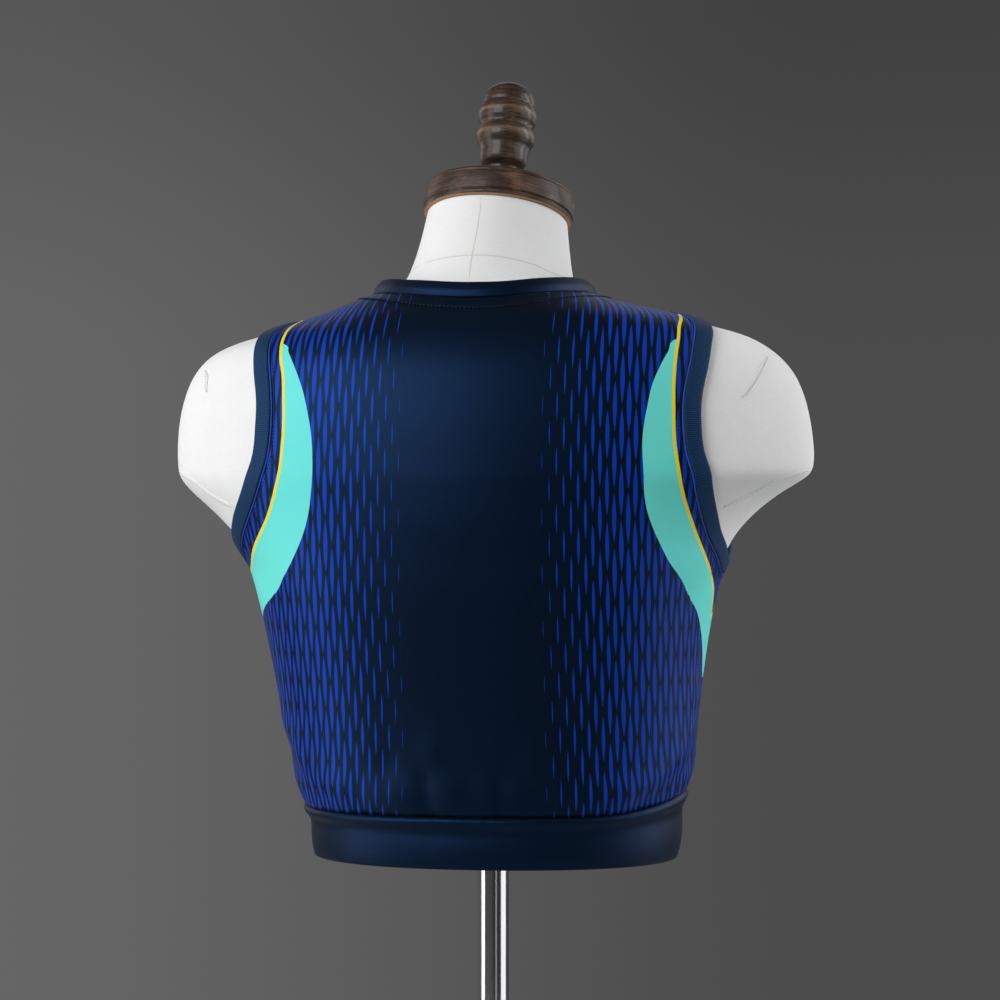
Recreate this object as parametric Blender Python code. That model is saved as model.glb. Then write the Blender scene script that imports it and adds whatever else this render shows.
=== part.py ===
"""Sleeveless crop top worn by a limbless dress form on a pole and a round foot.

The front faces -Y, the back +Y, the wearer's left is +X, and the foot stands on z = 0.
The form is a loft of level rings. The cloth is worked out from the same loft, moved out
along its normals, so each panel and band lies clear of the form and meets its neighbours.
Lengths are in metres, angles in degrees.
"""

import math

import bpy
import numpy as np

# Cloth
PANEL_WALL = 0.0012
HEM_WALL = 0.0022
ARMHOLE_WALL = 0.0018
NECK_WALL = 0.0020
SEAM_GAP = 0.0003
HEM_BOTTOM = 0.2408
HEM_SEAM = 0.2735
HEM_RISE_RIGHT = 0.0095
HEM_RISE_LEFT = 0.0018
HEM_SPREAD_RIGHT = 23.0  # degrees round the hem
HEM_SPREAD_LEFT = 14.0
ARMHOLE_BAND = 0.0114
NECKBAND = 0.0115
NECKBAND_RISE = 50.0
NECK_LEFT = 0.0765
NECK_RIGHT = 0.0665
NECK_BACK = 0.0660
NECK_FRONT = 0.0700
NECK_FRONT_SHAPE = 2.5

# Form, pole and foot
FORM_BOTTOM = 0.262
NECK_START = 0.606
NECK_CAP_RADIUS = 0.0488
NECK_CAP_THICKNESS = 0.0195
NECK_TILT = 15.0
NECK_ROLL = 3.5
NECK_TOP = (-0.0012, -0.013, 0.6525)
NECK_RADIUS = 0.0460
POLE_RADIUS = 0.0105
BASE_RADIUS = 0.120
BASE_HEIGHT = 0.014
SOCKET_RADIUS = 0.019
SOCKET_HEIGHT = 0.022

# Grid of the cloth
PANEL_COLUMNS = 32
SIDE_ROWS = 9
ARMHOLE_ROWS = 12
SHOULDER_ROWS = 5
RING_SEGMENTS = 2 * PANEL_COLUMNS
BACK_LEVELS = (0.412, 0.565)
FRONT_LEVELS = (0.392, 0.500)
FOLD_RADIUS = 0.130
SEAM_RADIUS = 0.120
TURN_STEP = 0.2
CLIMB_STEP = 0.0004

# Rings of the form from the bottom up. left, right, back and front are the distances from
# the pole's axis, side is the y of the ring's two ends, lift moves the cloth off the form,
# and shape is the exponent of the rounded oval (2 is an ellipse).
RING_COLUMNS = ("height", "left", "right", "back", "front", "side", "lift", "shape")
RINGS = np.array([
    (0.236, 0.1105, 0.1140, 0.0820, 0.079, 0.000, 0.0032, 2.20),
    (0.258, 0.1120, 0.1172, 0.0825, 0.080, 0.000, 0.0036, 2.20),
    (0.280, 0.1182, 0.1182, 0.0832, 0.084, 0.000, 0.0045, 2.20),
    (0.303, 0.1260, 0.1258, 0.0848, 0.091, 0.000, 0.0042, 2.25),
    (0.333, 0.1325, 0.1285, 0.0885, 0.101, 0.000, 0.0036, 2.30),
    (0.366, 0.1390, 0.1330, 0.0945, 0.109, 0.000, 0.0030, 2.35),
    (0.396, 0.1450, 0.1380, 0.100, 0.112, 0.002, 0.0026, 2.42),
    (0.416, 0.1500, 0.1430, 0.103, 0.110, 0.004, 0.0024, 2.42),
    (0.430, 0.1545, 0.1485, 0.104, 0.106, 0.006, 0.0022, 2.34),
    (0.441, 0.1620, 0.1530, 0.105, 0.102, 0.006, 0.0022, 2.22),
    (0.452, 0.1710, 0.1600, 0.106, 0.098, 0.006, 0.0022, 2.10),
    (0.465, 0.1850, 0.1730, 0.1065, 0.093, 0.006, 0.0022, 1.98),
    (0.476, 0.1985, 0.1880, 0.1065, 0.0885, 0.006, 0.0022, 1.92),
    (0.484, 0.2052, 0.2026, 0.1065, 0.0855, 0.006, 0.0022, 1.89),
    (0.490, 0.2072, 0.2084, 0.106, 0.083, 0.006, 0.0022, 1.88),
    (0.514, 0.2077, 0.2068, 0.104, 0.0755, 0.005, 0.0022, 1.88),
    (0.537, 0.2036, 0.2020, 0.100, 0.068, 0.004, 0.0022, 1.89),
    (0.554, 0.1960, 0.1940, 0.095, 0.062, 0.004, 0.0022, 1.91),
    (0.566, 0.1835, 0.1815, 0.089, 0.057, 0.005, 0.0022, 1.94),
    (0.574, 0.1625, 0.1680, 0.084, 0.054, 0.006, 0.0022, 1.97),
    (0.5785, 0.1405, 0.1540, 0.080, 0.052, 0.006, 0.0022, 2.0),
    (0.583, 0.1235, 0.1360, 0.077, 0.0505, 0.006, 0.0022, 2.0),
    (0.5875, 0.1090, 0.1140, 0.073, 0.0495, 0.006, 0.0022, 2.0),
    (0.592, 0.0975, 0.0930, 0.069, 0.0490, 0.006, 0.0022, 2.0),
    (0.597, 0.0850, 0.0730, 0.064, 0.0485, 0.005, 0.0024, 2.0),
    (0.603, 0.0680, 0.0580, 0.058, 0.0485, 0.004, 0.0026, 2.0),
    (0.611, 0.0575, 0.0502, 0.053, 0.0490, 0.002, 0.0030, 2.0),
    (0.624, 0.0498, 0.0474, 0.049, 0.0510, -0.001, 0.0030, 2.0),
    (0.638, 0.0480, 0.0480, 0.046, 0.0535, -0.005, 0.0030, 2.0),
])

# Seam between a panel and an armhole band, going once round from the lowest point up the
# back, over the shoulder and down the front. around is the angle from the side; the form's
# two shoulders aren't quite level, so each side has its own heights.
ARMHOLE_COLUMNS = ("around", "left_height", "right_height")
ARMHOLE = np.array([
    (0.0, 0.4260, 0.4225),
    (7.0, 0.4310, 0.4250),
    (13.0, 0.4410, 0.4350),
    (19.5, 0.4520, 0.4460),
    (25.7, 0.4685, 0.4705),
    (29.6, 0.4880, 0.4900),
    (30.5, 0.5100, 0.5100),
    (29.6, 0.5350, 0.5350),
    (25.9, 0.5570, 0.5555),
    (20.0, 0.5744, 0.5752),
    (9.0, 0.5815, 0.5850),
    (0.0, 0.5834, 0.5875),
    (-8.0, 0.5814, 0.5850),
    (-17.0, 0.5737, 0.5748),
    (-24.0, 0.5520, 0.5540),
    (-28.0, 0.5300, 0.5310),
    (-29.0, 0.5050, 0.5050),
    (-28.0, 0.4800, 0.4790),
    (-24.0, 0.4600, 0.4570),
    (-17.0, 0.4450, 0.4400),
    (-8.0, 0.4310, 0.4270),
])

# Soft folds of the panels, each a trough (depth under 0) or a ridge along a straight line.
# around is the angle from the left side, counted over the back.
FOLD_COLUMNS = ("around_from", "height_from", "around_to", "height_to", "half_width", "depth")
FOLDS = np.array([
    (28.0, 0.282, 8.0, 0.312, 0.009, -0.0010),
    (36.0, 0.292, 12.0, 0.330, 0.010, 0.0009),
    (152.0, 0.281, 172.0, 0.306, 0.008, -0.0014),
    (146.0, 0.289, 170.0, 0.322, 0.009, 0.0012),
    (205.0, 0.300, 236.0, 0.284, 0.009, -0.0010),
    (335.0, 0.300, 306.0, 0.284, 0.009, -0.0010),
])


def column(table, names, name):
    return table[..., names.index(name)]


def rows_at(table, at):
    """A smooth cubic curve through a table's columns, read at the row numbers given."""
    ends = (2 * table[:1] - table[1:2], table, 2 * table[-1:] - table[-2:-1])
    rows = np.vstack(ends)
    at = np.clip(np.asarray(at, float), 0, len(table) - 1 - 1e-9)
    first = np.floor(at).astype(int)
    part = (at - first)[..., None]
    weights = (
        (1 - part) ** 3 / 6,
        (3 * part ** 3 - 6 * part ** 2 + 4) / 6,
        (-3 * part ** 3 + 3 * part ** 2 + 3 * part + 1) / 6,
        part ** 3 / 6,
    )
    return sum(weight * rows[first + step] for step, weight in enumerate(weights))


ROW_NUMBERS = np.linspace(0, len(RINGS) - 1, 1200)
ROW_HEIGHTS = rows_at(RINGS, ROW_NUMBERS)[:, 0]


def ring_points(around, height):
    """Points of the form's loft. around is 0 at the left side, 90 at the back."""
    around, height = np.broadcast_arrays(np.asarray(around, float), np.asarray(height, float))
    values = rows_at(RINGS, np.interp(height, ROW_HEIGHTS, ROW_NUMBERS))
    names = ("left", "right", "back", "front", "side", "shape")
    left, right, back, front, side, shape = [column(values, RING_COLUMNS, name) for name in names]
    cosine = np.cos(np.radians(around))
    sine = np.sin(np.radians(around))
    wide = np.where(cosine >= 0, left, right)
    deep = np.where(sine >= 0, back - side, front + side)
    reach = (np.abs(cosine / wide) ** shape + np.abs(sine / deep) ** shape) ** (-1 / shape)
    return np.stack([reach * cosine, side + reach * sine, height], axis=-1)


def unit(vectors):
    return vectors / np.linalg.norm(vectors, axis=-1, keepdims=True)


def surface_steps(around, height):
    """How far the loft's point moves for a degree of turn and for a metre of height."""
    turned = ring_points(np.add(around, TURN_STEP), height)
    turn = (turned - ring_points(np.subtract(around, TURN_STEP), height)) / (2 * TURN_STEP)
    raised = ring_points(around, np.add(height, CLIMB_STEP))
    climb = (raised - ring_points(around, np.subtract(height, CLIMB_STEP))) / (2 * CLIMB_STEP)
    return turn, climb


def surface_normals(around, height):
    """Outward normals of the loft."""
    turn, climb = surface_steps(around, height)
    return unit(np.cross(turn, climb))


def fold_relief(around, height):
    """How far the folds push the cloth out (or in) at each point."""
    arc = np.radians(np.mod(around, 360.0)) * FOLD_RADIUS
    points = np.stack([arc, np.asarray(height, float)], axis=-1)
    relief = np.zeros(points.shape[:-1])
    for row in FOLDS:
        fold = dict(zip(FOLD_COLUMNS, row))
        start = np.array([math.radians(fold["around_from"]) * FOLD_RADIUS, fold["height_from"]])
        end = np.array([math.radians(fold["around_to"]) * FOLD_RADIUS, fold["height_to"]])
        run = end - start
        along = (points - start) @ run / (run @ run)
        foot = start + np.clip(along, 0, 1)[..., None] * run
        away = np.linalg.norm(points - foot, axis=-1)
        relief = relief + fold["depth"] * np.exp(-(away / fold["half_width"]) ** 2)
    return relief


def cloth_points(around, height, out):
    """Points at a distance out from the cloth's inner face."""
    around, height = np.broadcast_arrays(np.asarray(around, float), np.asarray(height, float))
    values = rows_at(RINGS, np.interp(height, ROW_HEIGHTS, ROW_NUMBERS))
    lift = column(values, RING_COLUMNS, "lift")
    distance = lift + fold_relief(around, height) + out
    return ring_points(around, height) + surface_normals(around, height) * distance[..., None]


def material(name, colour, roughness, metallic=0.0):
    made = bpy.data.materials.new(name)
    made.use_nodes = True
    made.diffuse_color = (*colour, 1.0)
    shader = made.node_tree.nodes["Principled BSDF"]
    shader.inputs["Base Color"].default_value = (*colour, 1.0)
    shader.inputs["Roughness"].default_value = roughness
    shader.inputs["Metallic"].default_value = metallic
    return made


def add_object(name, points, faces, finish, smooth_angle=40.0):
    mesh = bpy.data.meshes.new(name)
    mesh.from_pydata([tuple(point) for point in np.asarray(points).reshape(-1, 3)], [], faces)
    mesh.validate()
    mesh.materials.append(finish)
    mesh.shade_smooth()
    mesh.set_sharp_from_angle(angle=math.radians(smooth_angle))
    made = bpy.data.objects.new(name, mesh)
    bpy.context.collection.objects.link(made)
    return made


def closed_tube_faces(sections, per_section):
    """Quads round a tube whose sections and whose ring of sections both close."""
    index = np.arange(sections * per_section).reshape(sections, per_section)
    turned = np.roll(index, -1, axis=1)
    ahead = np.roll(index, -1, axis=0)
    both = np.roll(turned, -1, axis=0)
    return np.stack([index, ahead, both, turned], axis=-1).reshape(-1, 4).tolist()


def panel_faces(rows, columns):
    """Quads of a wall: outer grid, inner grid after it, and the rim between their edges."""
    outer = np.arange(rows * columns).reshape(rows, columns)
    inner = outer + rows * columns

    def cells(grid):
        corners = [grid[:-1, :-1], grid[:-1, 1:], grid[1:, 1:], grid[1:, :-1]]
        return np.stack(corners, axis=-1).reshape(-1, 4)

    def loop(grid):
        return np.concatenate([grid[0, :-1], grid[:-1, -1], grid[-1, :0:-1], grid[:0:-1, 0]])

    edge_out, edge_in = loop(outer), loop(inner)
    rim = np.stack([edge_out, edge_in, np.roll(edge_in, -1), np.roll(edge_out, -1)], axis=-1)
    return np.concatenate([cells(outer), cells(inner)[:, ::-1], rim]).tolist()


def armhole_curve(mirror):
    """The armhole seam, from its lowest point up the back and round: around and height."""
    heights = column(ARMHOLE, ARMHOLE_COLUMNS, "right_height" if mirror else "left_height")
    sides = np.stack([column(ARMHOLE, ARMHOLE_COLUMNS, "around"), heights], axis=1)
    closed = np.vstack([sides[-2:], sides, sides[:3]])
    fine = rows_at(closed, 2 + np.linspace(0, len(sides), 1600, endpoint=False))
    points = cloth_points(fine[:, 0], fine[:, 1], 0.0)
    steps = np.linalg.norm(np.roll(points, -1, axis=0) - points, axis=1)
    tip = int(np.argmax(fine[:, 1]))
    picked = np.concatenate([
        even_picks(steps, 0, tip, ARMHOLE_ROWS),
        even_picks(steps, tip, len(fine), ARMHOLE_ROWS),
    ])
    around, height = fine[picked % len(fine)].T
    around[0] = 0.0
    around[ARMHOLE_ROWS] = 0.0
    return (180.0 - around if mirror else around), height


def even_picks(steps, first, last, count):
    """Indices that part a stretch of a curve into equal lengths."""
    run = np.concatenate([[0.0], np.cumsum(steps[first:last])])
    wanted = np.linspace(0, run[-1], count, endpoint=False)
    return first + np.round(np.interp(wanted, run, np.arange(len(run)))).astype(int)


def neck_seam_height(around):
    """Height at which the loft reaches the neck opening's oval, seen from above."""
    around = np.atleast_1d(np.asarray(around, float))
    cosine, sine = np.cos(np.radians(around)), np.sin(np.radians(around))
    wide = np.where(cosine >= 0, NECK_LEFT, NECK_RIGHT)
    deep = np.where(sine >= 0, NECK_BACK, NECK_FRONT)
    round_off = np.where(sine >= 0, 2.0, NECK_FRONT_SHAPE)
    oval = (np.abs(cosine / wide) ** round_off + np.abs(sine / deep) ** round_off) ** (-1 / round_off)
    levels = np.linspace(0.602, 0.500, 160)
    reach = np.linalg.norm(ring_points(around, levels[:, None])[..., :2], axis=-1)
    return np.array([np.interp(goal, reach[:, i], levels) for i, goal in enumerate(oval)])


def hem_seam_heights(around):
    """Height of the hem seam: level at the back and front, drawn up at the right side."""
    from_right = np.abs(np.mod(np.asarray(around, float), 360) - 180)
    raised = HEM_RISE_RIGHT * np.exp(-(from_right / HEM_SPREAD_RIGHT) ** 2)
    return HEM_SEAM + raised + HEM_RISE_LEFT * np.exp(-((180 - from_right) / HEM_SPREAD_LEFT) ** 2)


def make_panel(name, front, finish):
    """A panel from side seam to side seam, its rows following both armholes to the neck."""
    left_around, left_height = armhole_curve(False)
    right_around, right_height = armhole_curve(True)
    sign = -1 if front else 1
    picks = sign * np.arange(ARMHOLE_ROWS + 1) % (2 * ARMHOLE_ROWS)
    neck = neck_seam_height([0.0, 180.0, sign * 90.0])
    bottom = HEM_SEAM + SEAM_GAP / 2

    def side(edge_around, edge_height, plain_around, top):
        low = hem_seam_heights(plain_around) + SEAM_GAP / 2
        below = np.linspace(low, edge_height[0], SIDE_ROWS, endpoint=False)
        above = np.linspace(edge_height[ARMHOLE_ROWS], top, SHOULDER_ROWS + 1)[1:]
        angles = (plain_around + 0 * below, edge_around[picks], plain_around + 0 * above)
        return np.concatenate(angles), np.concatenate([below, edge_height[picks], above])

    starts, start_heights = side(left_around, left_height, 0.0, neck[0])
    ends, end_heights = side(right_around, right_height, 180.0, neck[1])
    seam_angle = math.degrees(SEAM_GAP / 2 / SEAM_RADIUS)
    starts = np.abs(starts) + np.where(starts == 0, seam_angle, 0)
    ends = 180 - np.abs(180 - ends) - np.where(ends == 180, seam_angle, 0)

    last = len(starts) - 1
    stops = (0, SIDE_ROWS, SIDE_ROWS + ARMHOLE_ROWS, last)
    middle = (bottom, *(FRONT_LEVELS if front else BACK_LEVELS), neck[2])
    centre_heights = np.interp(np.arange(last + 1), stops, middle)

    share = np.linspace(0, 1, PANEL_COLUMNS + 1)
    around = sign * (starts[:, None] + (ends - starts)[:, None] * share)
    level = start_heights[:, None] + (end_heights - start_heights)[:, None] * share
    top_level = neck[0] + (neck[1] - neck[0]) * share
    dip = (neck_seam_height(around[-1]) - top_level) / (neck[2] - top_level[len(share) // 2])
    height = level + dip * (centre_heights - level[:, len(share) // 2])[:, None]
    to_seam = hem_seam_heights(around[0]) + SEAM_GAP / 2 - height[0]
    height += np.clip(1 - np.arange(last + 1) / SIDE_ROWS, 0, 1)[:, None] * to_seam
    outer = cloth_points(around, height, PANEL_WALL)
    inner = cloth_points(around, height, 0.0)
    points = np.concatenate([outer.reshape(-1, 3), inner.reshape(-1, 3)])
    faces = panel_faces(len(starts), len(share))
    made = add_object(name, points, faces, finish)
    turn_outward(made)
    return made


def band_section(width, wall, crown):
    """Section of a folded band from its seam edge to its round free edge: along and out."""
    return np.array([
        (SEAM_GAP, 0.0),
        (SEAM_GAP, wall),
        (0.30 * width, wall + crown),
        (0.65 * width, wall + crown),
        (width - 0.45 * wall, wall + 0.3 * crown),
        (width, 0.5 * wall),
        (width - 0.45 * wall, 0.0),
        (0.5 * width, 0.0),
    ])


def turn_outward(made):
    """Flips a closed mesh whose faces point inwards."""
    mesh = made.data
    mesh.calc_loop_triangles()
    points = np.array([vertex.co for vertex in mesh.vertices])
    corners = np.array([triangle.vertices for triangle in mesh.loop_triangles])
    if np.linalg.det(points[corners]).sum() < 0:
        mesh.flip_normals()


def walk_across(around, height, side, step, count):
    """Lines at equal steps from a closed curve on the loft, out towards the arm."""
    lines = [(around, height)]
    for _ in range(count):
        points = ring_points(around, height)
        along = np.roll(points, -1, axis=0) - np.roll(points, 1, axis=0)
        outward = unit(np.cross(along, surface_normals(around, height)) * side)
        turn, climb = surface_steps(around, height)
        tt, tc, cc = (np.sum(u * v, axis=1) for u, v in ((turn, turn), (turn, climb), (climb, climb)))
        to, co = np.sum(turn * outward, axis=1), np.sum(climb * outward, axis=1)
        whole = tt * cc - tc * tc
        around = around + step * (to * cc - co * tc) / whole
        height = height + step * (co * tt - to * tc) / whole
        lines.append((around, height))
    return lines


def make_armhole_band(name, mirror, finish):
    """A folded band that follows the loft from the armhole seam out towards the arm."""
    around, height = armhole_curve(mirror)
    steps = 6
    lines = walk_across(around, height, 1 if mirror else -1, ARMHOLE_BAND / steps, steps)
    section = band_section(ARMHOLE_BAND, ARMHOLE_WALL, 0.0002)
    places = section[:, 0] / ARMHOLE_BAND * steps
    arounds = np.stack([line[0] for line in lines], axis=1)
    heights = np.stack([line[1] for line in lines], axis=1)
    read = [[np.interp(places, range(steps + 1), row) for row in grid] for grid in (arounds, heights)]
    points = cloth_points(read[0], read[1], section[None, :, 1])
    made = add_object(name, points, closed_tube_faces(len(around), len(section)), finish)
    turn_outward(made)
    return made


def make_neckband(finish):
    """A band that stands up along the foot of the neck, steeper at the front."""
    around = np.linspace(0, 360, RING_SEGMENTS, endpoint=False)
    height = neck_seam_height(around)
    seam = cloth_points(around, height, 0.0)
    normals = surface_normals(around, height)
    tangent = unit(np.roll(seam, -1, axis=0) - np.roll(seam, 1, axis=0))
    sine = np.sin(np.radians(around))
    rise = np.radians(NECKBAND_RISE + np.where(sine < 0, 16.0, 6.0) * sine ** 2)[:, None]
    outward = np.stack([np.cos(np.radians(around)), sine, 0 * sine], axis=1)
    across = np.array([0, 0, 1.0]) * np.sin(rise) - outward * np.cos(rise)
    across = unit(across - tangent * np.sum(across * tangent, axis=1, keepdims=True))
    facing = np.cross(across, tangent)
    facing = facing * np.sign(np.sum(facing * outward))
    upward = np.cross(normals, tangent)
    upward = upward * np.sign(np.sum(upward * across))
    base = seam + unit(upward) * SEAM_GAP
    section = band_section(NECKBAND, NECK_WALL, 0.0003)
    section[:, 0] -= SEAM_GAP
    points = base[:, None] + section[:, :1] * across[:, None] + section[:, 1:] * facing[:, None]
    points[:, 1] = base + normals * PANEL_WALL
    made = add_object("neckband", points, closed_tube_faces(*points.shape[:2]), finish)
    turn_outward(made)
    return made


def make_hem_band(finish):
    """A doubled band under the hem seam, with a soft roll at its top and a folded edge."""
    top = HEM_SEAM - SEAM_GAP / 2
    section = np.array([
        (top, 0.0),
        (top, PANEL_WALL),
        (top - 0.0030, HEM_WALL + 0.0006),
        (top - 0.0080, HEM_WALL + 0.0004),
        (top - 0.0160, HEM_WALL + 0.0002),
        (HEM_BOTTOM + 0.0035, HEM_WALL + 0.0004),
        (HEM_BOTTOM + 0.0008, HEM_WALL * 0.8),
        (HEM_BOTTOM, HEM_WALL * 0.5),
        (HEM_BOTTOM + 0.0008, HEM_WALL * 0.15),
        (top - 0.0140, 0.0),
    ])
    around = np.linspace(0, 360, RING_SEGMENTS, endpoint=False)
    stretch = (hem_seam_heights(around) - SEAM_GAP / 2 - HEM_BOTTOM) / (top - HEM_BOTTOM)
    heights = HEM_BOTTOM + (section[None, :, 0] - HEM_BOTTOM) * stretch[:, None]
    points = cloth_points(around[:, None], heights, section[None, :, 1])
    faces = closed_tube_faces(len(around), len(section))
    made = add_object("hem_band", points, faces, finish)
    turn_outward(made)
    return made


def neck_turn():
    """Rotation of the neck's top: forward by its tilt and down on the right by its roll."""
    tilt, roll = math.radians(NECK_TILT), math.radians(NECK_ROLL)
    about_x = np.array([
        (1, 0, 0),
        (0, math.cos(tilt), -math.sin(tilt)),
        (0, math.sin(tilt), math.cos(tilt)),
    ])
    about_y = np.array([
        (math.cos(roll), 0, -math.sin(roll)),
        (0, 1, 0),
        (math.sin(roll), 0, math.cos(roll)),
    ])
    return about_y @ about_x


def make_form(finish):
    """The torso, shoulder caps and neck as one closed body, its neck top cut at a tilt."""
    segments = 56
    around = np.linspace(0, 360, segments, endpoint=False)
    heights = np.concatenate([
        np.linspace(FORM_BOTTOM, 0.436, 9, endpoint=False),
        np.linspace(0.436, 0.566, 9, endpoint=False),
        np.linspace(0.566, NECK_START, 8, endpoint=False),
    ])
    rings = [ring_points(around, np.full(segments, height)) for height in heights]
    turned = neck_turn()
    circle = np.stack([np.cos(np.radians(around)), np.sin(np.radians(around)), 0 * around], axis=1)
    top = NECK_TOP + NECK_RADIUS * circle @ turned.T
    foot = ring_points(around, np.full(segments, NECK_START))
    for share in (0.0, 0.12, 0.3, 0.6, 1.0):
        pull = share ** 0.5
        ring = foot * (1 - pull) + top * pull
        ring[:, 2] = foot[:, 2] * (1 - share) + top[:, 2] * share
        rings.append(ring)
    inset = NECK_TOP + (NECK_RADIUS - 0.001) * circle @ turned.T + turned @ np.array([0, 0, 0.001])
    rings.append(inset)
    first = rings[0].copy()
    first[:, :2] *= 0.97
    first[:, 2] -= 0.003
    rings.insert(0, first)
    return loft_object("form_body", rings, finish)


def loft_object(name, rings, finish, smooth_angle=40.0):
    """Rings of equal count joined in order, with both ends closed by a fan."""
    segments = len(rings[0])
    points = np.concatenate(rings)
    index = np.arange(len(rings) * segments).reshape(len(rings), segments)
    turned = np.roll(index, -1, axis=1)
    sides = np.stack([index[:-1], turned[:-1], turned[1:], index[1:]], axis=-1).reshape(-1, 4)
    ends = np.stack([rings[0].mean(axis=0), rings[-1].mean(axis=0)])
    low, high = len(points), len(points) + 1
    faces = sides.tolist()
    faces += [[turned[0, i], index[0, i], low] for i in range(segments)]
    faces += [[index[-1, i], turned[-1, i], high] for i in range(segments)]
    return add_object(name, np.concatenate([points, ends]), faces, finish, smooth_angle)


def turned_piece(name, profile, segments, origin, turn, finish):
    """A turned piece: radius and height pairs from its foot to its top, then tilted."""
    angle = np.linspace(0, 2 * math.pi, segments, endpoint=False)
    rings = []
    for radius, height in profile:
        flat = np.stack([radius * np.cos(angle), radius * np.sin(angle), 0 * angle + height], axis=1)
        rings.append(np.asarray(origin) + flat @ turn.T)
    return loft_object(name, rings, finish)


def make_cap_and_finial(finish):
    turn = neck_turn()
    up = turn @ np.array([0, 0, 1.0])
    radius, thick = NECK_CAP_RADIUS, NECK_CAP_THICKNESS
    cap_profile = [
        (radius - 0.0010, 0.0),
        (radius, 0.0010),
        (radius, 0.0030),
        (radius - 0.0008, 0.0036),
        (radius - 0.0008, 0.0042),
        (radius + 0.0004, 0.0050),
        (radius + 0.0004, thick - 0.0040),
        (radius - 0.0012, thick - 0.0032),
        (radius - 0.0010, thick - 0.0010),
        (radius - 0.0030, thick),
    ]
    cap_foot = np.array(NECK_TOP) + up * (0.001 + SEAM_GAP)
    turned_piece("neck_cap", cap_profile, 40, cap_foot, turn, finish)
    knob_profile = [
        (0.0105, 0.0),
        (0.0105, 0.0155),
        (0.0140, 0.0180),
        (0.0155, 0.0208),
        (0.0161, 0.0270),
        (0.0166, 0.0300),
        (0.0180, 0.0323),
        (0.0191, 0.0350),
        (0.0192, 0.0385),
        (0.0184, 0.0415),
        (0.0171, 0.0442),
        (0.0178, 0.0465),
        (0.0191, 0.0495),
        (0.0193, 0.0535),
        (0.0183, 0.0570),
        (0.0173, 0.0592),
        (0.0173, 0.0625),
        (0.0165, 0.0660),
        (0.0150, 0.0692),
        (0.0126, 0.0719),
        (0.0090, 0.0741),
        (0.0040, 0.0757),
    ]
    turned_piece("finial", knob_profile, 28, cap_foot + up * (thick + SEAM_GAP), turn, finish)


def make_stand(chrome, painted):
    upright = np.eye(3)
    pole_profile = [
        (POLE_RADIUS, BASE_HEIGHT + SOCKET_HEIGHT + SEAM_GAP),
        (POLE_RADIUS, FORM_BOTTOM - 0.003 - SEAM_GAP),
    ]
    turned_piece("pole", pole_profile, 28, (0, 0, 0), upright, chrome)
    base_profile = [
        (BASE_RADIUS - 0.001, 0.0),
        (BASE_RADIUS, 0.001),
        (BASE_RADIUS, BASE_HEIGHT - 0.005),
        (BASE_RADIUS - 0.002, BASE_HEIGHT - 0.002),
        (BASE_RADIUS - 0.006, BASE_HEIGHT),
        (SOCKET_RADIUS + 0.004, BASE_HEIGHT + 0.001),
        (SOCKET_RADIUS, BASE_HEIGHT + 0.004),
        (SOCKET_RADIUS, BASE_HEIGHT + SOCKET_HEIGHT - 0.002),
        (SOCKET_RADIUS - 0.002, BASE_HEIGHT + SOCKET_HEIGHT),
    ]
    turned_piece("base", base_profile, 56, (0, 0, 0), upright, painted)


def main():
    for old in list(bpy.data.objects):
        bpy.data.objects.remove(old, do_unlink=True)
    navy = material("navy_satin_jersey", (0.004, 0.012, 0.032), 0.5)
    rib = material("steel_navy_rib", (0.012, 0.030, 0.072), 0.65)
    linen = material("off_white_form_jersey", (0.86, 0.86, 0.88), 0.85)
    wood = material("dark_turned_wood", (0.075, 0.043, 0.027), 0.45)
    chrome = material("chrome", (0.75, 0.75, 0.77), 0.12, 1.0)
    painted = material("painted_steel", (0.05, 0.05, 0.055), 0.4)
    make_panel("back_panel", False, navy)
    make_panel("front_panel", True, navy)
    make_neckband(navy)
    make_armhole_band("armhole_band_left", False, rib)
    make_armhole_band("armhole_band_right", True, rib)
    make_hem_band(navy)
    make_form(linen)
    make_cap_and_finial(wood)
    make_stand(chrome, painted)


main()
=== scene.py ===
import math

import bpy
import numpy as np
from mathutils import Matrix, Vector


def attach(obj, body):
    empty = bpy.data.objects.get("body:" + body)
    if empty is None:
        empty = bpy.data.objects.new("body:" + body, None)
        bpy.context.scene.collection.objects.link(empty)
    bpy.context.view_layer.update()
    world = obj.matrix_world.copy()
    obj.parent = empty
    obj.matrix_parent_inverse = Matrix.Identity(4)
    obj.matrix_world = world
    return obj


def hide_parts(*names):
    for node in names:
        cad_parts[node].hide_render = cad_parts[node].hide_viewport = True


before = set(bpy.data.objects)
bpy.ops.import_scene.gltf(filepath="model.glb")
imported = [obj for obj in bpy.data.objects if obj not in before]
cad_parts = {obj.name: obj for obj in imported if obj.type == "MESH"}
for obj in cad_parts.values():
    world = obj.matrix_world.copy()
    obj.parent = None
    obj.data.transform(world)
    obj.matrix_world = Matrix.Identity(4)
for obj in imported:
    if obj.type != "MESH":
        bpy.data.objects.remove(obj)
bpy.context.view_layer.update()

# Crop top on a dress form. Metres, +Z up, front at -Y, wearer's left at +X.
# The cloth follows the form's loft: a ring for each height, moved out along its normals.

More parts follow.
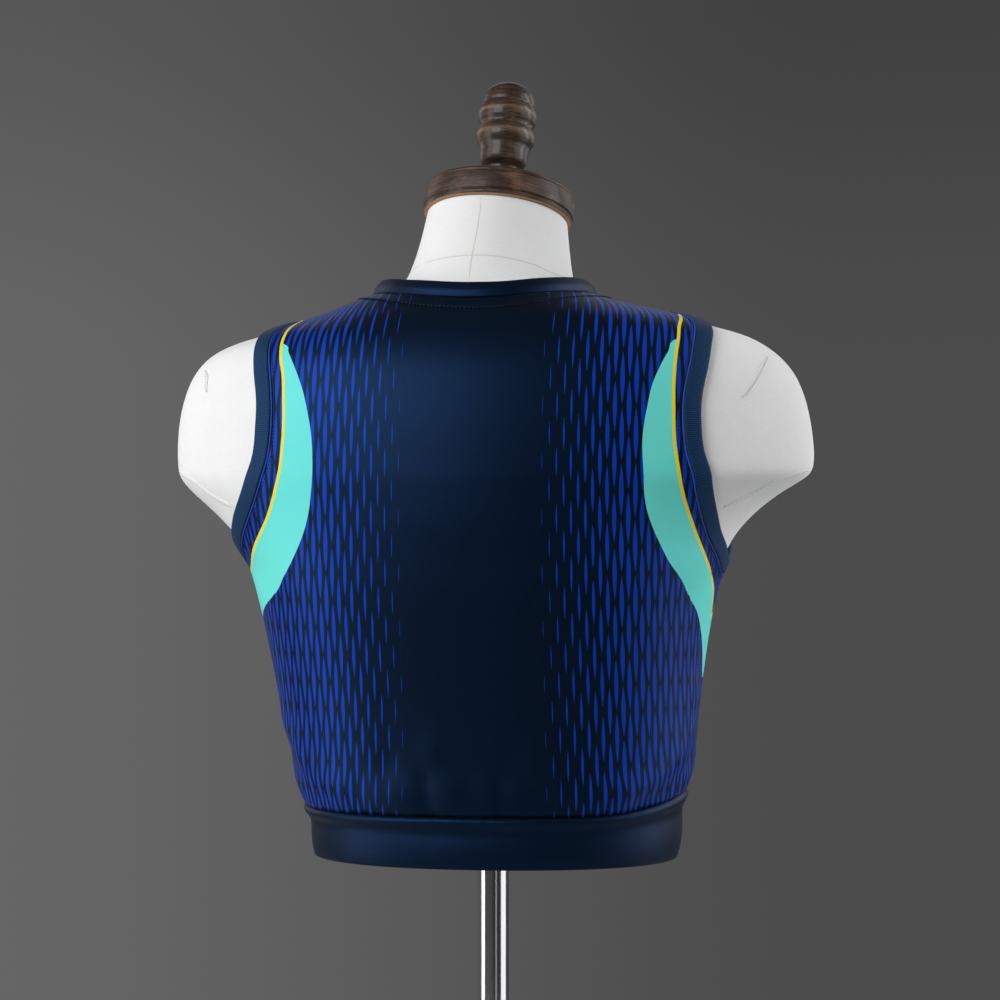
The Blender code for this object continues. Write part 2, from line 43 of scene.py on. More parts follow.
# Rings of the form: left, right, back and front are distances from the pole's axis, side is
# the y of the ring's two ends, lift moves the cloth out, shape is the rounded oval's exponent.
ringColumns = ("height", "left", "right", "back", "front", "side", "lift", "shape")
ringTable = np.array([
    (0.236, 0.1105, 0.1140, 0.0820, 0.079, 0.000, 0.0032, 2.20),
    (0.258, 0.1120, 0.1172, 0.0825, 0.080, 0.000, 0.0036, 2.20),
    (0.280, 0.1182, 0.1182, 0.0832, 0.084, 0.000, 0.0045, 2.20),
    (0.303, 0.1260, 0.1258, 0.0848, 0.091, 0.000, 0.0042, 2.25),
    (0.333, 0.1325, 0.1285, 0.0885, 0.101, 0.000, 0.0036, 2.30),
    (0.366, 0.1390, 0.1330, 0.0945, 0.109, 0.000, 0.0030, 2.35),
    (0.396, 0.1450, 0.1380, 0.100, 0.112, 0.002, 0.0026, 2.42),
    (0.416, 0.1500, 0.1430, 0.103, 0.110, 0.004, 0.0024, 2.42),
    (0.430, 0.1545, 0.1485, 0.104, 0.106, 0.006, 0.0022, 2.34),
    (0.441, 0.1620, 0.1530, 0.105, 0.102, 0.006, 0.0022, 2.22),
    (0.452, 0.1710, 0.1600, 0.106, 0.098, 0.006, 0.0022, 2.10),
    (0.465, 0.1850, 0.1730, 0.1065, 0.093, 0.006, 0.0022, 1.98),
    (0.476, 0.1985, 0.1880, 0.1065, 0.0885, 0.006, 0.0022, 1.92),
    (0.484, 0.2052, 0.2026, 0.1065, 0.0855, 0.006, 0.0022, 1.89),
    (0.490, 0.2072, 0.2084, 0.106, 0.083, 0.006, 0.0022, 1.88),
    (0.514, 0.2077, 0.2068, 0.104, 0.0755, 0.005, 0.0022, 1.88),
    (0.537, 0.2036, 0.2020, 0.100, 0.068, 0.004, 0.0022, 1.89),
    (0.554, 0.1960, 0.1940, 0.095, 0.062, 0.004, 0.0022, 1.91),
    (0.566, 0.1835, 0.1815, 0.089, 0.057, 0.005, 0.0022, 1.94),
    (0.574, 0.1625, 0.1680, 0.084, 0.054, 0.006, 0.0022, 1.97),
    (0.5785, 0.1405, 0.1540, 0.080, 0.052, 0.006, 0.0022, 2.0),
    (0.583, 0.1235, 0.1360, 0.077, 0.0505, 0.006, 0.0022, 2.0),
    (0.5875, 0.1090, 0.1140, 0.073, 0.0495, 0.006, 0.0022, 2.0),
    (0.592, 0.0975, 0.0930, 0.069, 0.0490, 0.006, 0.0022, 2.0),
    (0.597, 0.0850, 0.0730, 0.064, 0.0485, 0.005, 0.0024, 2.0),
    (0.603, 0.0680, 0.0580, 0.058, 0.0485, 0.004, 0.0026, 2.0),
    (0.611, 0.0575, 0.0502, 0.053, 0.0490, 0.002, 0.0030, 2.0),
    (0.624, 0.0498, 0.0474, 0.049, 0.0510, -0.001, 0.0030, 2.0),
    (0.638, 0.0480, 0.0480, 0.046, 0.0535, -0.005, 0.0030, 2.0),
])

# Armhole seam from its lowest point up the back and round; around is counted from the side.
armholeColumns = ("around", "leftHeight", "rightHeight")
armholeTable = np.array([
    (0.0, 0.4260, 0.4225),
    (7.0, 0.4310, 0.4250),
    (13.0, 0.4410, 0.4350),
    (19.5, 0.4520, 0.4460),
    (25.7, 0.4685, 0.4705),
    (29.6, 0.4880, 0.4900),
    (30.5, 0.5100, 0.5100),
    (29.6, 0.5350, 0.5350),
    (25.9, 0.5570, 0.5555),
    (20.0, 0.5744, 0.5752),
    (9.0, 0.5815, 0.5850),
    (0.0, 0.5834, 0.5875),
    (-8.0, 0.5814, 0.5850),
    (-17.0, 0.5737, 0.5748),
    (-24.0, 0.5520, 0.5540),
    (-28.0, 0.5300, 0.5310),
    (-29.0, 0.5050, 0.5050),
    (-28.0, 0.4800, 0.4790),
    (-24.0, 0.4600, 0.4570),
    (-17.0, 0.4450, 0.4400),
    (-8.0, 0.4310, 0.4270),
])

garment = {
    "panelWall": 0.0012, "seamGap": 0.0001,
    "hemSeam": 0.2735, "hemBottom": 0.2408, "hemWall": 0.0022,
    "hemRiseRight": 0.0118, "hemSpreadRight": 25.0,  # the hem seam is drawn up at the sides: m and degrees
    "hemRiseLeft": 0.0020, "hemSpreadLeft": 14.0,
    "armholeBand": 0.0114, "armholeWall": 0.0018,
    "neckband": 0.0115, "neckWall": 0.0020, "neckbandRise": 50.0,
    "neckLeft": 0.0765, "neckRight": 0.0665, "neckBack": 0.0660, "neckFront": 0.0700,
    "neckFrontShape": 2.5,
}


def column(table, names, name):
    return table[..., names.index(name)]


def unit(vectors):
    return vectors / np.linalg.norm(vectors, axis=-1, keepdims=True)


def rowsAt(table, at):
    # cubic B-spline over the rows: sum of b_k(t) row_(i+k), with mirrored end rows
    rows = np.vstack((2 * table[:1] - table[1:2], table, 2 * table[-1:] - table[-2:-1]))
    at = np.clip(np.asarray(at, float), 0, len(table) - 1 - 1e-9)
    first = np.floor(at).astype(int)
    t = (at - first)[..., None]
    weights = ((1 - t) ** 3 / 6, (3 * t ** 3 - 6 * t ** 2 + 4) / 6,
               (-3 * t ** 3 + 3 * t ** 2 + 3 * t + 1) / 6, t ** 3 / 6)
    return sum(weight * rows[first + step] for step, weight in enumerate(weights))


def curveThrough(rows, count, closed=False):
    # Catmull-Rom curve through the rows:
    # 0.5 (2 p1 + (p2 - p0) t + (2 p0 - 5 p1 + 4 p2 - p3) t^2 + (3 p1 - p0 - 3 p2 + p3) t^3)
    rows = np.asarray(rows, float)
    spans = len(rows) if closed else len(rows) - 1
    at = np.linspace(0, spans, count, endpoint=not closed)
    first = np.minimum(np.floor(at).astype(int), spans - 1)
    t = (at - first)[:, None]
    picks = first[None] + np.arange(-1, 3)[:, None]
    p0, p1, p2, p3 = rows[picks % len(rows) if closed else np.clip(picks, 0, len(rows) - 1)]
    return 0.5 * (2 * p1 + (p2 - p0) * t + (2 * p0 - 5 * p1 + 4 * p2 - p3) * t ** 2
                  + (3 * p1 - p0 - 3 * p2 + p3) * t ** 3)


loftRows = rowsAt(ringTable, np.linspace(0, len(ringTable) - 1, 1600))


def ringValues(height):
    # each ring column after the height, read at the height, linear between the spline's rows
    return [np.interp(height, loftRows[:, 0], values) for values in loftRows.T[1:]]


def loftPoint(around, height):
    # (r cos a, side + r sin a, h), where 1/r = (|cos a / wide|^n + |sin a / deep|^n)^(1/n)
    around, height = np.broadcast_arrays(np.asarray(around, float), np.asarray(height, float))
    left, right, back, front, side, lift, shape = ringValues(height)
    cosine, sine = np.cos(np.radians(around)), np.sin(np.radians(around))
    wide = np.where(cosine >= 0, left, right)
    deep = np.where(sine >= 0, back - side, front + side)
    reach = (np.abs(cosine / wide) ** shape + np.abs(sine / deep) ** shape) ** (-1 / shape)
    return np.stack([reach * cosine, side + reach * sine, height], axis=-1)


def loftSteps(around, height, turnStep=0.2, climbStep=0.0004):
    # central differences: change of the point for a degree of turn, and for a metre of height
    turn = loftPoint(np.add(around, turnStep), height) - loftPoint(np.subtract(around, turnStep), height)
    climb = loftPoint(around, np.add(height, climbStep)) - loftPoint(around, np.subtract(height, climbStep))
    return turn / (2 * turnStep), climb / (2 * climbStep)


def loftNormal(around, height):
    # cross product of the two steps, which points outwards
    turn, climb = loftSteps(around, height)
    return unit(np.cross(turn, climb))


# Folds of the panels, each from one place on the loft to another. bow is how far its middle
# leaves the straight line, depth is under 0 for a trough. Lengths in metres.
foldColumns = ("fromAround", "fromHeight", "toAround", "toHeight", "bow", "halfWidth", "depth")
foldTable = np.array([
    (28, 0.282, 8, 0.312, 0.002, 0.009, -0.0012),
    (36, 0.292, 12, 0.330, 0.003, 0.010, 0.0011),
    (152, 0.281, 172, 0.306, -0.002, 0.008, -0.0016),
    (146, 0.289, 170, 0.322, -0.003, 0.009, 0.0014),
    (71, 0.277, 70, 0.294, 0.000, 0.0080, -0.0012),
    (80, 0.293, 73, 0.314, 0.001, 0.0110, 0.0011),
    (102, 0.275, 101, 0.291, 0.000, 0.0085, -0.0011),
    (126, 0.277, 124, 0.294, -0.001, 0.0080, -0.0011),
    (119, 0.290, 113, 0.309, 0.001, 0.0110, 0.0011),
    (22, 0.295, 24, 0.320, 0.001, 0.0100, 0.0011),
    (162, 0.318, 168, 0.350, 0.001, 0.0110, 0.0011),
    (53, 0.290, 57, 0.312, 0.000, 0.0090, -0.0007),
    (44, 0.279, 46, 0.294, 0.000, 0.0080, -0.0008),
    (14, 0.430, 30, 0.404, 0.003, 0.0090, -0.0007),
    (168, 0.424, 152, 0.398, -0.003, 0.0090, -0.0007),
    (60, 0.345, 116, 0.338, -0.006, 0.0160, -0.0008),
    (205, 0.300, 236, 0.284, 0.002, 0.009, -0.0012),
    (203, 0.318, 232, 0.304, 0.002, 0.010, 0.0010),
    (335, 0.300, 306, 0.284, -0.002, 0.009, -0.0012),
    (338, 0.322, 310, 0.306, -0.003, 0.010, 0.0010),
    (248, 0.279, 252, 0.303, 0.001, 0.009, -0.0010),
    (284, 0.278, 279, 0.298, 0.001, 0.010, -0.0010),
    (266, 0.296, 268, 0.318, 0.000, 0.012, 0.0009),
    (216, 0.440, 236, 0.415, 0.003, 0.011, -0.0008),
    (324, 0.442, 304, 0.418, -0.003, 0.011, -0.0008),
    (222, 0.520, 244, 0.500, 0.003, 0.012, -0.0006),
    (316, 0.524, 298, 0.505, -0.003, 0.012, -0.0006),
])
foldRadius = 0.125


def foldRelief(around, height):
    # sum of depth exp(-(d / halfWidth)^2) over the folds, d from the bowed line or from its ends
    around = np.mod(around, 360.0)
    place = np.stack([np.radians(around) * foldRadius, np.broadcast_to(height, around.shape)], axis=-1)
    relief = np.zeros(around.shape)
    for row in foldTable:
        fold = dict(zip(foldColumns, row))
        start = np.array([math.radians(fold["fromAround"]) * foldRadius, fold["fromHeight"]])
        end = np.array([math.radians(fold["toAround"]) * foldRadius, fold["toHeight"]])
        run = end - start
        length = np.linalg.norm(run)
        t = (place - start) @ run / length ** 2
        clipped = np.clip(t, 0, 1)
        bowed = fold["bow"] * 4 * clipped * (1 - clipped)
        off = ((place - start) @ np.array([-run[1], run[0]])) / length - bowed
        distance = np.hypot(off, (t - clipped) * length)
        relief += fold["depth"] * np.exp(-(distance / fold["halfWidth"]) ** 2)
    return relief


def waves(around, seed, count, low, high):
    # sum of cosines cos(n a + phase) / sqrt(n), from a seeded table, scaled to about -1..1
    table = np.random.default_rng(seed)
    total = 0
    for turns in table.choice(np.arange(low, high), count, replace=False):
        total = total + np.cos(np.radians(around) * turns + table.uniform(0, 6.28)) / math.sqrt(turns)
    return total / np.abs(total).max()


def hemTop(around):
    # height of the hem seam: level, and drawn up at each side by rise exp(-(a / spread)^2)
    fromRight = np.abs(np.mod(np.asarray(around, float), 360) - 180)
    fromLeft = 180 - fromRight
    right = garment["hemRiseRight"] * np.exp(-(fromRight / garment["hemSpreadRight"]) ** 2)
    left = garment["hemRiseLeft"] * np.exp(-(fromLeft / garment["hemSpreadLeft"]) ** 2)
    return garment["hemSeam"] + right + left


blousing = {"bulge": 0.0017, "uneven": 0.0009, "middle": 0.014, "spread": 0.012,
            "pucker": 0.00022, "puckerSpread": 0.006}  # m; middle is the height over the hem seam
waveAngles = np.linspace(0, 360, 1441)
blouseWaves = waves(waveAngles, 11, 6, 4, 14)
puckerWaves = waves(waveAngles, 5, 12, 34, 90)


def blouse(around, height):
    # a bulge over the hem seam, with small puckers at the seam:
    # w(a) exp(-((s - middle) / spread)^2) + p(a) exp(-(s / puckerSpread)^2)
    above = height - hemTop(around)
    turned = np.mod(around, 360)
    bulge = blousing["bulge"] + blousing["uneven"] * np.interp(turned, waveAngles, blouseWaves)
    pucker = blousing["pucker"] * np.interp(turned, waveAngles, puckerWaves)
    return (bulge * np.exp(-((above - blousing["middle"]) / blousing["spread"]) ** 2)
            + pucker * np.exp(-(above / blousing["puckerSpread"]) ** 2))


def clothPoint(around, height, out, folds=True):
    # loft point + normal (lift + folds + blouse + out)
    around, height = np.broadcast_arrays(np.asarray(around, float), np.asarray(height, float))
    distance = ringValues(height)[ringColumns.index("lift") - 1] + out
    if folds:
        distance = distance + foldRelief(around, height) + blouse(around, height)
    return loftPoint(around, height) + loftNormal(around, height) * distance[..., None]


def evenPicks(steps, first, last, count):
    # indices that part a stretch of a curve into equal lengths
    run = np.concatenate([[0.0], np.cumsum(steps[first:last])])
    goals = np.linspace(0, run[-1], count, endpoint=False)
    return first + np.round(np.interp(goals, run, np.arange(len(run)))).astype(int)


def armholeCurve(mirror, rows):
    # the seam's (around, height), parted evenly from its lowest point over the back and round
    heights = column(armholeTable, armholeColumns, "rightHeight" if mirror else "leftHeight")
    sides = np.stack([column(armholeTable, armholeColumns, "around"), heights], axis=1)
    closed = np.vstack([sides[-2:], sides, sides[:3]])
    fine = rowsAt(closed, 2 + np.linspace(0, len(sides), 6400, endpoint=False))
    points = clothPoint(fine[:, 0], fine[:, 1], 0.0, False)
    steps = np.linalg.norm(np.roll(points, -1, axis=0) - points, axis=1)
    tip = int(np.argmax(fine[:, 1]))
    picked = np.concatenate([evenPicks(steps, 0, tip, rows), evenPicks(steps, tip, len(fine), rows)])
    around, height = fine[picked % len(fine)].T
    around[0] = 0.0
    around[rows] = 0.0
    return (180.0 - around if mirror else around), height


def neckSeamHeight(around):
    # height at which the loft's reach equals the neck opening's oval, seen from above
    around = np.atleast_1d(np.asarray(around, float))
    cosine, sine = np.cos(np.radians(around)), np.sin(np.radians(around))
    wide = np.where(cosine >= 0, garment["neckLeft"], garment["neckRight"])
    deep = np.where(sine >= 0, garment["neckBack"], garment["neckFront"])
    power = np.where(sine >= 0, 2.0, garment["neckFrontShape"])
    oval = (np.abs(cosine / wide) ** power + np.abs(sine / deep) ** power) ** (-1 / power)
    levels = np.linspace(0.602, 0.500, 400)
    reach = np.linalg.norm(loftPoint(around, levels[:, None])[..., :2], axis=-1)
    return np.array([np.interp(goal, reach[:, i], levels) for i, goal in enumerate(oval)])


def walkAcross(around, height, side, step, count):
    # lines at equal steps from a closed curve on the loft: solves the step in turn and climb
    lines = [(around, height)]
    for _ in range(count):
        points = loftPoint(around, height)
        along = np.roll(points, -1, axis=0) - np.roll(points, 1, axis=0)
        outward = unit(np.cross(along, loftNormal(around, height)) * side)
        turn, climb = loftSteps(around, height)
        tt, tc, cc = (np.sum(u * v, axis=1) for u, v in ((turn, turn), (turn, climb), (climb, climb)))
        to, co = np.sum(turn * outward, axis=1), np.sum(climb * outward, axis=1)
        around = around + step * (to * cc - co * tc) / (tt * cc - tc * tc)
        height = height + step * (co * tt - to * tc) / (tt * cc - tc * tc)
        lines.append((around, height))
    return np.array(lines)


print("shapes ready")


# meshes and materials

def addPiece(name, points, faceSets, material, values=None, nodes=(), smoothAngle=None):
    # one mesh from arrays of corner numbers, turned outwards by the sign of its volume
    points = np.asarray(points, float).reshape(-1, 3)
    faceSets = [np.asarray(faces) for faces in faceSets]
    volume = sum(np.sum(points[f[:, 0]] * np.cross(points[f[:, i]], points[f[:, i + 1]]))
                 for f in faceSets for i in range(1, f.shape[1] - 1))
    if volume < 0:
        faceSets = [faces[:, ::-1] for faces in faceSets]
    corners = np.concatenate([faces.ravel() for faces in faceSets])
    sizes = np.concatenate([np.full(len(faces), faces.shape[1]) for faces in faceSets])
    mesh = bpy.data.meshes.new(name)
    mesh.vertices.add(len(points))
    mesh.vertices.foreach_set("co", points.ravel())
    mesh.loops.add(len(corners))
    mesh.loops.foreach_set("vertex_index", corners)
    mesh.polygons.add(len(sizes))
    mesh.polygons.foreach_set("loop_start", np.concatenate([[0], np.cumsum(sizes)[:-1]]))
    for key, value in (values or {}).items():
        stored = mesh.attributes.new(key, "FLOAT", "POINT")
        stored.data.foreach_set("value", np.asarray(value, np.float32).ravel())
    mesh.update(calc_edges=True)
    mesh.validate()
    mesh.shade_smooth()
    if smoothAngle:
        mesh.set_sharp_from_angle(angle=math.radians(smoothAngle))
    mesh.materials.append(material)
    piece = bpy.data.objects.new(name, mesh)
    bpy.context.collection.objects.link(piece)
    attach(piece, "root")
    if nodes:
        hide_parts(*nodes)
    return piece


def closedTube(sections, perSection):
    # quads round a tube whose sections and whose ring of sections both close
    index = np.arange(sections * perSection).reshape(sections, perSection)
    turned, ahead = np.roll(index, -1, axis=1), np.roll(index, -1, axis=0)
    return np.stack([index, ahead, np.roll(turned, -1, axis=0), turned], axis=-1).reshape(-1, 4)


def gridRim(grid):
    # the numbers on the four edges, in order
    return np.concatenate([grid[0, :-1], grid[:-1, -1], grid[-1, :0:-1], grid[:0:-1, 0]])


def wallFaces(rows, columns):
    # outer grid, inner grid after it, and the rim between their edges
    outer = np.arange(rows * columns).reshape(rows, columns)
    inner = outer + rows * columns

    def cells(grid):
        return np.stack([grid[:-1, :-1], grid[:-1, 1:], grid[1:, 1:], grid[1:, :-1]], axis=-1).reshape(-1, 4)

    a, b = gridRim(outer), gridRim(inner)
    rim = np.stack([a, b, np.roll(b, -1), np.roll(a, -1)], axis=-1)
    return np.concatenate([cells(outer), cells(inner)[:, ::-1], rim])


def lathFaces(rings, segments):
    # quads between rings, and a fan to one point at each end
    index = np.arange(rings * segments).reshape(rings, segments)
    turned = np.roll(index, -1, axis=1)
    low, high = rings * segments, rings * segments + 1
    sides = np.stack([index[:-1], turned[:-1], turned[1:], index[1:]], axis=-1).reshape(-1, 4)
    fans = np.concatenate([np.stack([turned[0], index[0], np.full(segments, low)], axis=-1),
                           np.stack([index[-1], turned[-1], np.full(segments, high)], axis=-1)])
    return [sides, fans]


def linear(hexColour):
    # sRGB hex to linear: c / 12.92 up to 0.04045, ((c + 0.055) / 1.055)^2.4 above
    parts = [int(hexColour[i:i + 2], 16) / 255 for i in (1, 3, 5)]
    return (*[c / 12.92 if c <= 0.04045 else ((c + 0.055) / 1.055) ** 2.4 for c in parts], 1.0)


def addNode(tree, kind, inputs=None, out=0, **settings):
    # a node's output, after its settings; each input is a value, or a socket to link from
    node = tree.nodes.new("ShaderNode" + kind)
    for name, value in settings.items():
        setattr(node, name, value)
    for key, value in (inputs or {}).items():
        if isinstance(value, bpy.types.NodeSocket):
            tree.links.new(value, node.inputs[key])
        else:
            node.inputs[key].default_value = value
    return node.outputs[out]


def newMaterial(name, colour, values):
    made = bpy.data.materials.new(name)
    made.use_nodes = True
    shader = made.node_tree.nodes["Principled BSDF"]
    shader.inputs["Base Color"].default_value = linear(colour)
    made.diffuse_color = linear(colour)
    for key, value in values.items():
        shader.inputs[key].default_value = value
    return made, made.node_tree, shader


jersey = {
    "navy": "#02070e", "navyLight": "#07121f", "royal": "#0a34a0", "royalLight": "#0f40b6",
    "mint": "#70eade", "piping": "#f8e000", "bandNavy": "#020810", "bandLight": "#071321",
    "dashPitch": 4.4,      # mm from one column of dashes to the next
    "dashLength": 34.0,    # mm from one dash to the next in a column
    "dashHalfWidth": 1.45, "dashHalfLength": 16.2,
    "pipingHalfWidth": 1.05,
    "edgeSoftness": 0.12,  # mm over which a printed edge fades
    "wale": 1.3, "course": 1.5,  # mm of the knit's columns and rows
    "coverstitchAway": 10.2,  # mm from the neck seam to the coverstitch
    "grooveWidth": 1.0, "swellWidth": 2.6, "swell": 0.25,  # beside the coverstitch
}
satinFinish = {"Roughness": 0.47, "Specular IOR Level": 0.44, "Specular Tint": linear("#5c9dff")}
# dark and light rib tones: painted shade in the grooves between the ribs, painted highlight on their crests
ribTape = {"dark": "#0c1f36", "light": "#1f4168", "ridge": 1.4}  # ridge in mm
waveBand = 0.314  # what one band of a wave texture measures at scale 1


def jerseySurface(tree, shader, across, up, grain, bump, sewn=None):
    # interlock knit: its columns and rows are drawn coarser than the real 0.5 mm, so that they show
    place = addNode(tree, "CombineXYZ", {0: across, 1: up})
    wales, courses = (
        addNode(tree, "TexWave", {"Vector": place, "Scale": waveBand / jersey[row], "Distortion": 0.6,
                "Detail": 1.0}, out="Fac", bands_direction=way)
        for row, way in (("wale", "X"), ("course", "Y")))
    knit = addNode(tree, "Math", {0: wales, 1: courses}, operation="MULTIPLY")
    knit = addNode(tree, "Math", {0: knit, 1: 0.4}, operation="MULTIPLY")
    speck = addNode(tree, "TexNoise", {"Vector": place, "Scale": 0.9, "Detail": 3.0, "Roughness": 0.7},
                    out="Fac")
    height = addNode(tree, "Math", {0: speck, 1: grain, 2: knit}, operation="MULTIPLY_ADD")
    surface = {"Height": height, "Strength": bump, "Distance": 0.00012}
    if sewn:
        surface["Normal"] = addNode(tree, "Bump", {"Height": sewn, "Strength": 0.75, "Distance": 0.0006})
    tree.links.new(addNode(tree, "Bump", surface), shader.inputs["Normal"])
    return speck


def printedJersey():
    # sublimation-printed polyester interlock: satin face, ink that lies in the yarn
    made, tree, shader = newMaterial("printedInterlockJersey", jersey["navy"], satinFinish)
    read = {key: addNode(tree, "Attribute", attribute_name=key, out="Fac")
            for key in ("across", "up", "fade", "pipingEdge", "crescentEdge", "neckAway")}
    # the coverstitch presses a groove, and the cloth above it swells: 1 - groove + swell
    offStitch = addNode(tree, "Math", {0: read["neckAway"], 1: jersey["coverstitchAway"]},
                        operation="SUBTRACT")
    nearStitch = addNode(tree, "Math", {0: offStitch}, operation="ABSOLUTE")
    groove = addNode(tree, "MapRange", {"Value": nearStitch, "From Max": jersey["grooveWidth"]},
                     interpolation_type="SMOOTHSTEP")
    offSwell = addNode(tree, "Math", {0: offStitch, 1: jersey["swellWidth"]}, operation="ADD")
    offSwell = addNode(tree, "Math", {0: offSwell}, operation="ABSOLUTE")
    swell = addNode(tree, "MapRange", {"Value": offSwell, "From Max": jersey["swellWidth"],
                    "To Min": jersey["swell"], "To Max": 0.0}, interpolation_type="SMOOTHSTEP")
    sewn = addNode(tree, "Math", {0: groove, 1: swell}, operation="ADD")
    speck = jerseySurface(tree, shader, read["across"], read["up"], 1.2, 0.6, sewn)
    # column number and the distance from its middle line
    inPitches = addNode(tree, "Math", {0: read["across"], 1: jersey["dashPitch"]}, operation="DIVIDE")
    columnNumber = addNode(tree, "Math", {0: inPitches}, operation="ROUND")
    offMiddle = addNode(tree, "Math", {0: inPitches, 1: columnNumber}, operation="SUBTRACT")
    offMiddle = addNode(tree, "Math", {0: offMiddle}, operation="ABSOLUTE")
    # every second column is moved by half a dash
    stagger = addNode(tree, "Math", {0: columnNumber, 1: 0.5}, operation="MULTIPLY")
    inLengths = addNode(tree, "Math", {0: read["up"], 1: 1 / jersey["dashLength"], 2: stagger},
                        operation="MULTIPLY_ADD")
    part = inLengths
    for operation, value in (("FLOORED_MODULO", 1.0), ("SUBTRACT", 0.5), ("ABSOLUTE", 0.0)):
        part = addNode(tree, "Math", {0: part, 1: value}, operation=operation)
    # lens: offMiddle / halfWidth + (part / halfLength)^2 under the fade
    sideways = addNode(tree, "Math", {0: offMiddle, 1: jersey["dashPitch"] / jersey["dashHalfWidth"]},
                       operation="MULTIPLY")
    lengthways = addNode(tree, "Math", {0: part, 1: jersey["dashLength"] / jersey["dashHalfLength"]},
                         operation="MULTIPLY")
    lens = addNode(tree, "Math", {0: lengthways, 1: lengthways, 2: sideways}, operation="MULTIPLY_ADD")
    over = addNode(tree, "Math", {0: read["fade"], 1: lens}, operation="SUBTRACT")
    inked = addNode(tree, "MapRange", {"Value": over, "From Min": -0.04, "From Max": 0.04})
    navy, royal = (addNode(tree, "Mix", {"Factor": speck, "A": linear(jersey[ink]),
                   "B": linear(jersey[ink + "Light"])}, out=2, data_type="RGBA") for ink in ("navy", "royal"))
    colour = addNode(tree, "Mix", {"Factor": inked, "A": navy, "B": royal}, out=2, data_type="RGBA")
    # the mint crescent lies inside its own edge and outside the piping line
    inCrescent = addNode(tree, "MapRange", {"Value": read["crescentEdge"], "From Min": jersey["edgeSoftness"],
                         "From Max": -jersey["edgeSoftness"]})
    outPiping = addNode(tree, "Math", {0: read["pipingEdge"], 1: 0.0}, operation="GREATER_THAN")
    mint = addNode(tree, "Math", {0: inCrescent, 1: outPiping}, operation="MULTIPLY")
    offLine = addNode(tree, "Math", {0: read["pipingEdge"]}, operation="ABSOLUTE")
    onLine = addNode(tree, "MapRange", {
        "Value": offLine, "From Min": jersey["pipingHalfWidth"] + jersey["edgeSoftness"],
        "From Max": jersey["pipingHalfWidth"] - jersey["edgeSoftness"]})
    for amount, ink in ((mint, "mint"), (onLine, "piping")):
        colour = addNode(tree, "Mix", {"Factor": amount, "A": colour, "B": linear(jersey[ink])},
                         out=2, data_type="RGBA")
    tree.links.new(colour, shader.inputs["Base Color"])
    return made


def plainJersey(name, colour, light):
    # the same interlock, dyed plain: the folded bands look a little smoother and lighter
    made, tree, shader = newMaterial(name, colour, satinFinish)
    read = {key: addNode(tree, "Attribute", attribute_name=key, out="Fac") for key in ("across", "up")}
    speck = jerseySurface(tree, shader, read["across"], read["up"], 1.0, 0.5)
    mixed = addNode(tree, "Mix", {"Factor": speck, "A": linear(colour), "B": linear(light)},
                    out=2, data_type="RGBA")
    tree.links.new(mixed, shader.inputs["Base Color"])
    return made


def ribKnit():
    # 1x1 rib tape: ridges across the band, matt, slightly greyer than the body; its grooves are painted
    #               darker and its ridges lighter, a painted shade and highlight that follow the ribs' height
    made, tree, shader = newMaterial("ribKnitTape", "#10233a", {
        "Roughness": 0.5, "Specular IOR Level": 0.35, "Specular Tint": linear("#7fb0ff")})
    read = {key: addNode(tree, "Attribute", attribute_name=key, out="Fac") for key in ("across", "up")}
    place = addNode(tree, "CombineXYZ", {0: read["across"], 1: read["up"]})
    ribs = addNode(tree, "TexWave", {"Vector": place, "Scale": waveBand / ribTape["ridge"], "Distortion": 0.9,
                   "Detail": 2.0, "Detail Scale": 2.0}, out="Fac", bands_direction="X")
    speck = addNode(tree, "TexNoise", {"Vector": place, "Scale": 1.1, "Detail": 3.0}, out="Fac")
    height = addNode(tree, "Math", {0: speck, 1: 0.5, 2: ribs}, operation="MULTIPLY_ADD")
    # painted shade: the colour darkens where the rib height is low and lightens on the crests
    paintedRibShade = addNode(tree, "MapRange", {"Value": height, "From Min": 0.1, "From Max": 1.4})
    mixed = addNode(tree, "Mix", {"Factor": paintedRibShade, "A": linear(ribTape["dark"]),
                    "B": linear(ribTape["light"])}, out=2, data_type="RGBA")
    tree.links.new(mixed, shader.inputs["Base Color"])
    lumps = addNode(tree, "Bump", {"Height": height, "Strength": 0.6, "Distance": 0.0003})
    tree.links.new(lumps, shader.inputs["Normal"])
    return made


def sewingThread(name, colour):
    # spun thread: matt, with the small lumps of its twist
    made, tree, shader = newMaterial(name, colour, {"Roughness": 0.6, "Specular IOR Level": 0.2})
    place = addNode(tree, "TexCoord", out="Object")
    twist = addNode(tree, "TexNoise", {"Vector": place, "Scale": 2500.0, "Detail": 2.0}, out="Fac")
    lumps = addNode(tree, "Bump", {"Height": twist, "Strength": 0.3, "Distance": 0.0001})
    tree.links.new(lumps, shader.inputs["Normal"])
    return made


def formCotton():
    # cotton jersey stretched on the form: off-white, matt, a faint weave and soft mottling
    made, tree, shader = newMaterial("formCottonJersey", "#ebebec", {
        "Roughness": 0.85, "Specular IOR Level": 0.25, "Sheen Weight": 0.2, "Sheen Roughness": 0.6})
    place = addNode(tree, "TexCoord", out="Object")
    weave, slub = (addNode(tree, "TexNoise", {"Vector": place, "Scale": scale, "Detail": detail,
                   "Roughness": 0.6}, out="Fac") for scale, detail in ((900.0, 2.0), (60.0, 4.0)))
    height = addNode(tree, "Math", {0: slub, 1: 0.6, 2: weave}, operation="MULTIPLY_ADD")
    lumps = addNode(tree, "Bump", {"Height": height, "Strength": 0.45, "Distance": 0.0003})
    tree.links.new(lumps, shader.inputs["Normal"])
    mixed = addNode(tree, "Mix", {"Factor": height, "A": linear("#e4e4e6"), "B": linear("#f1f1f1")},
                    out=2, data_type="RGBA")
    tree.links.new(mixed, shader.inputs["Base Color"])
    return made


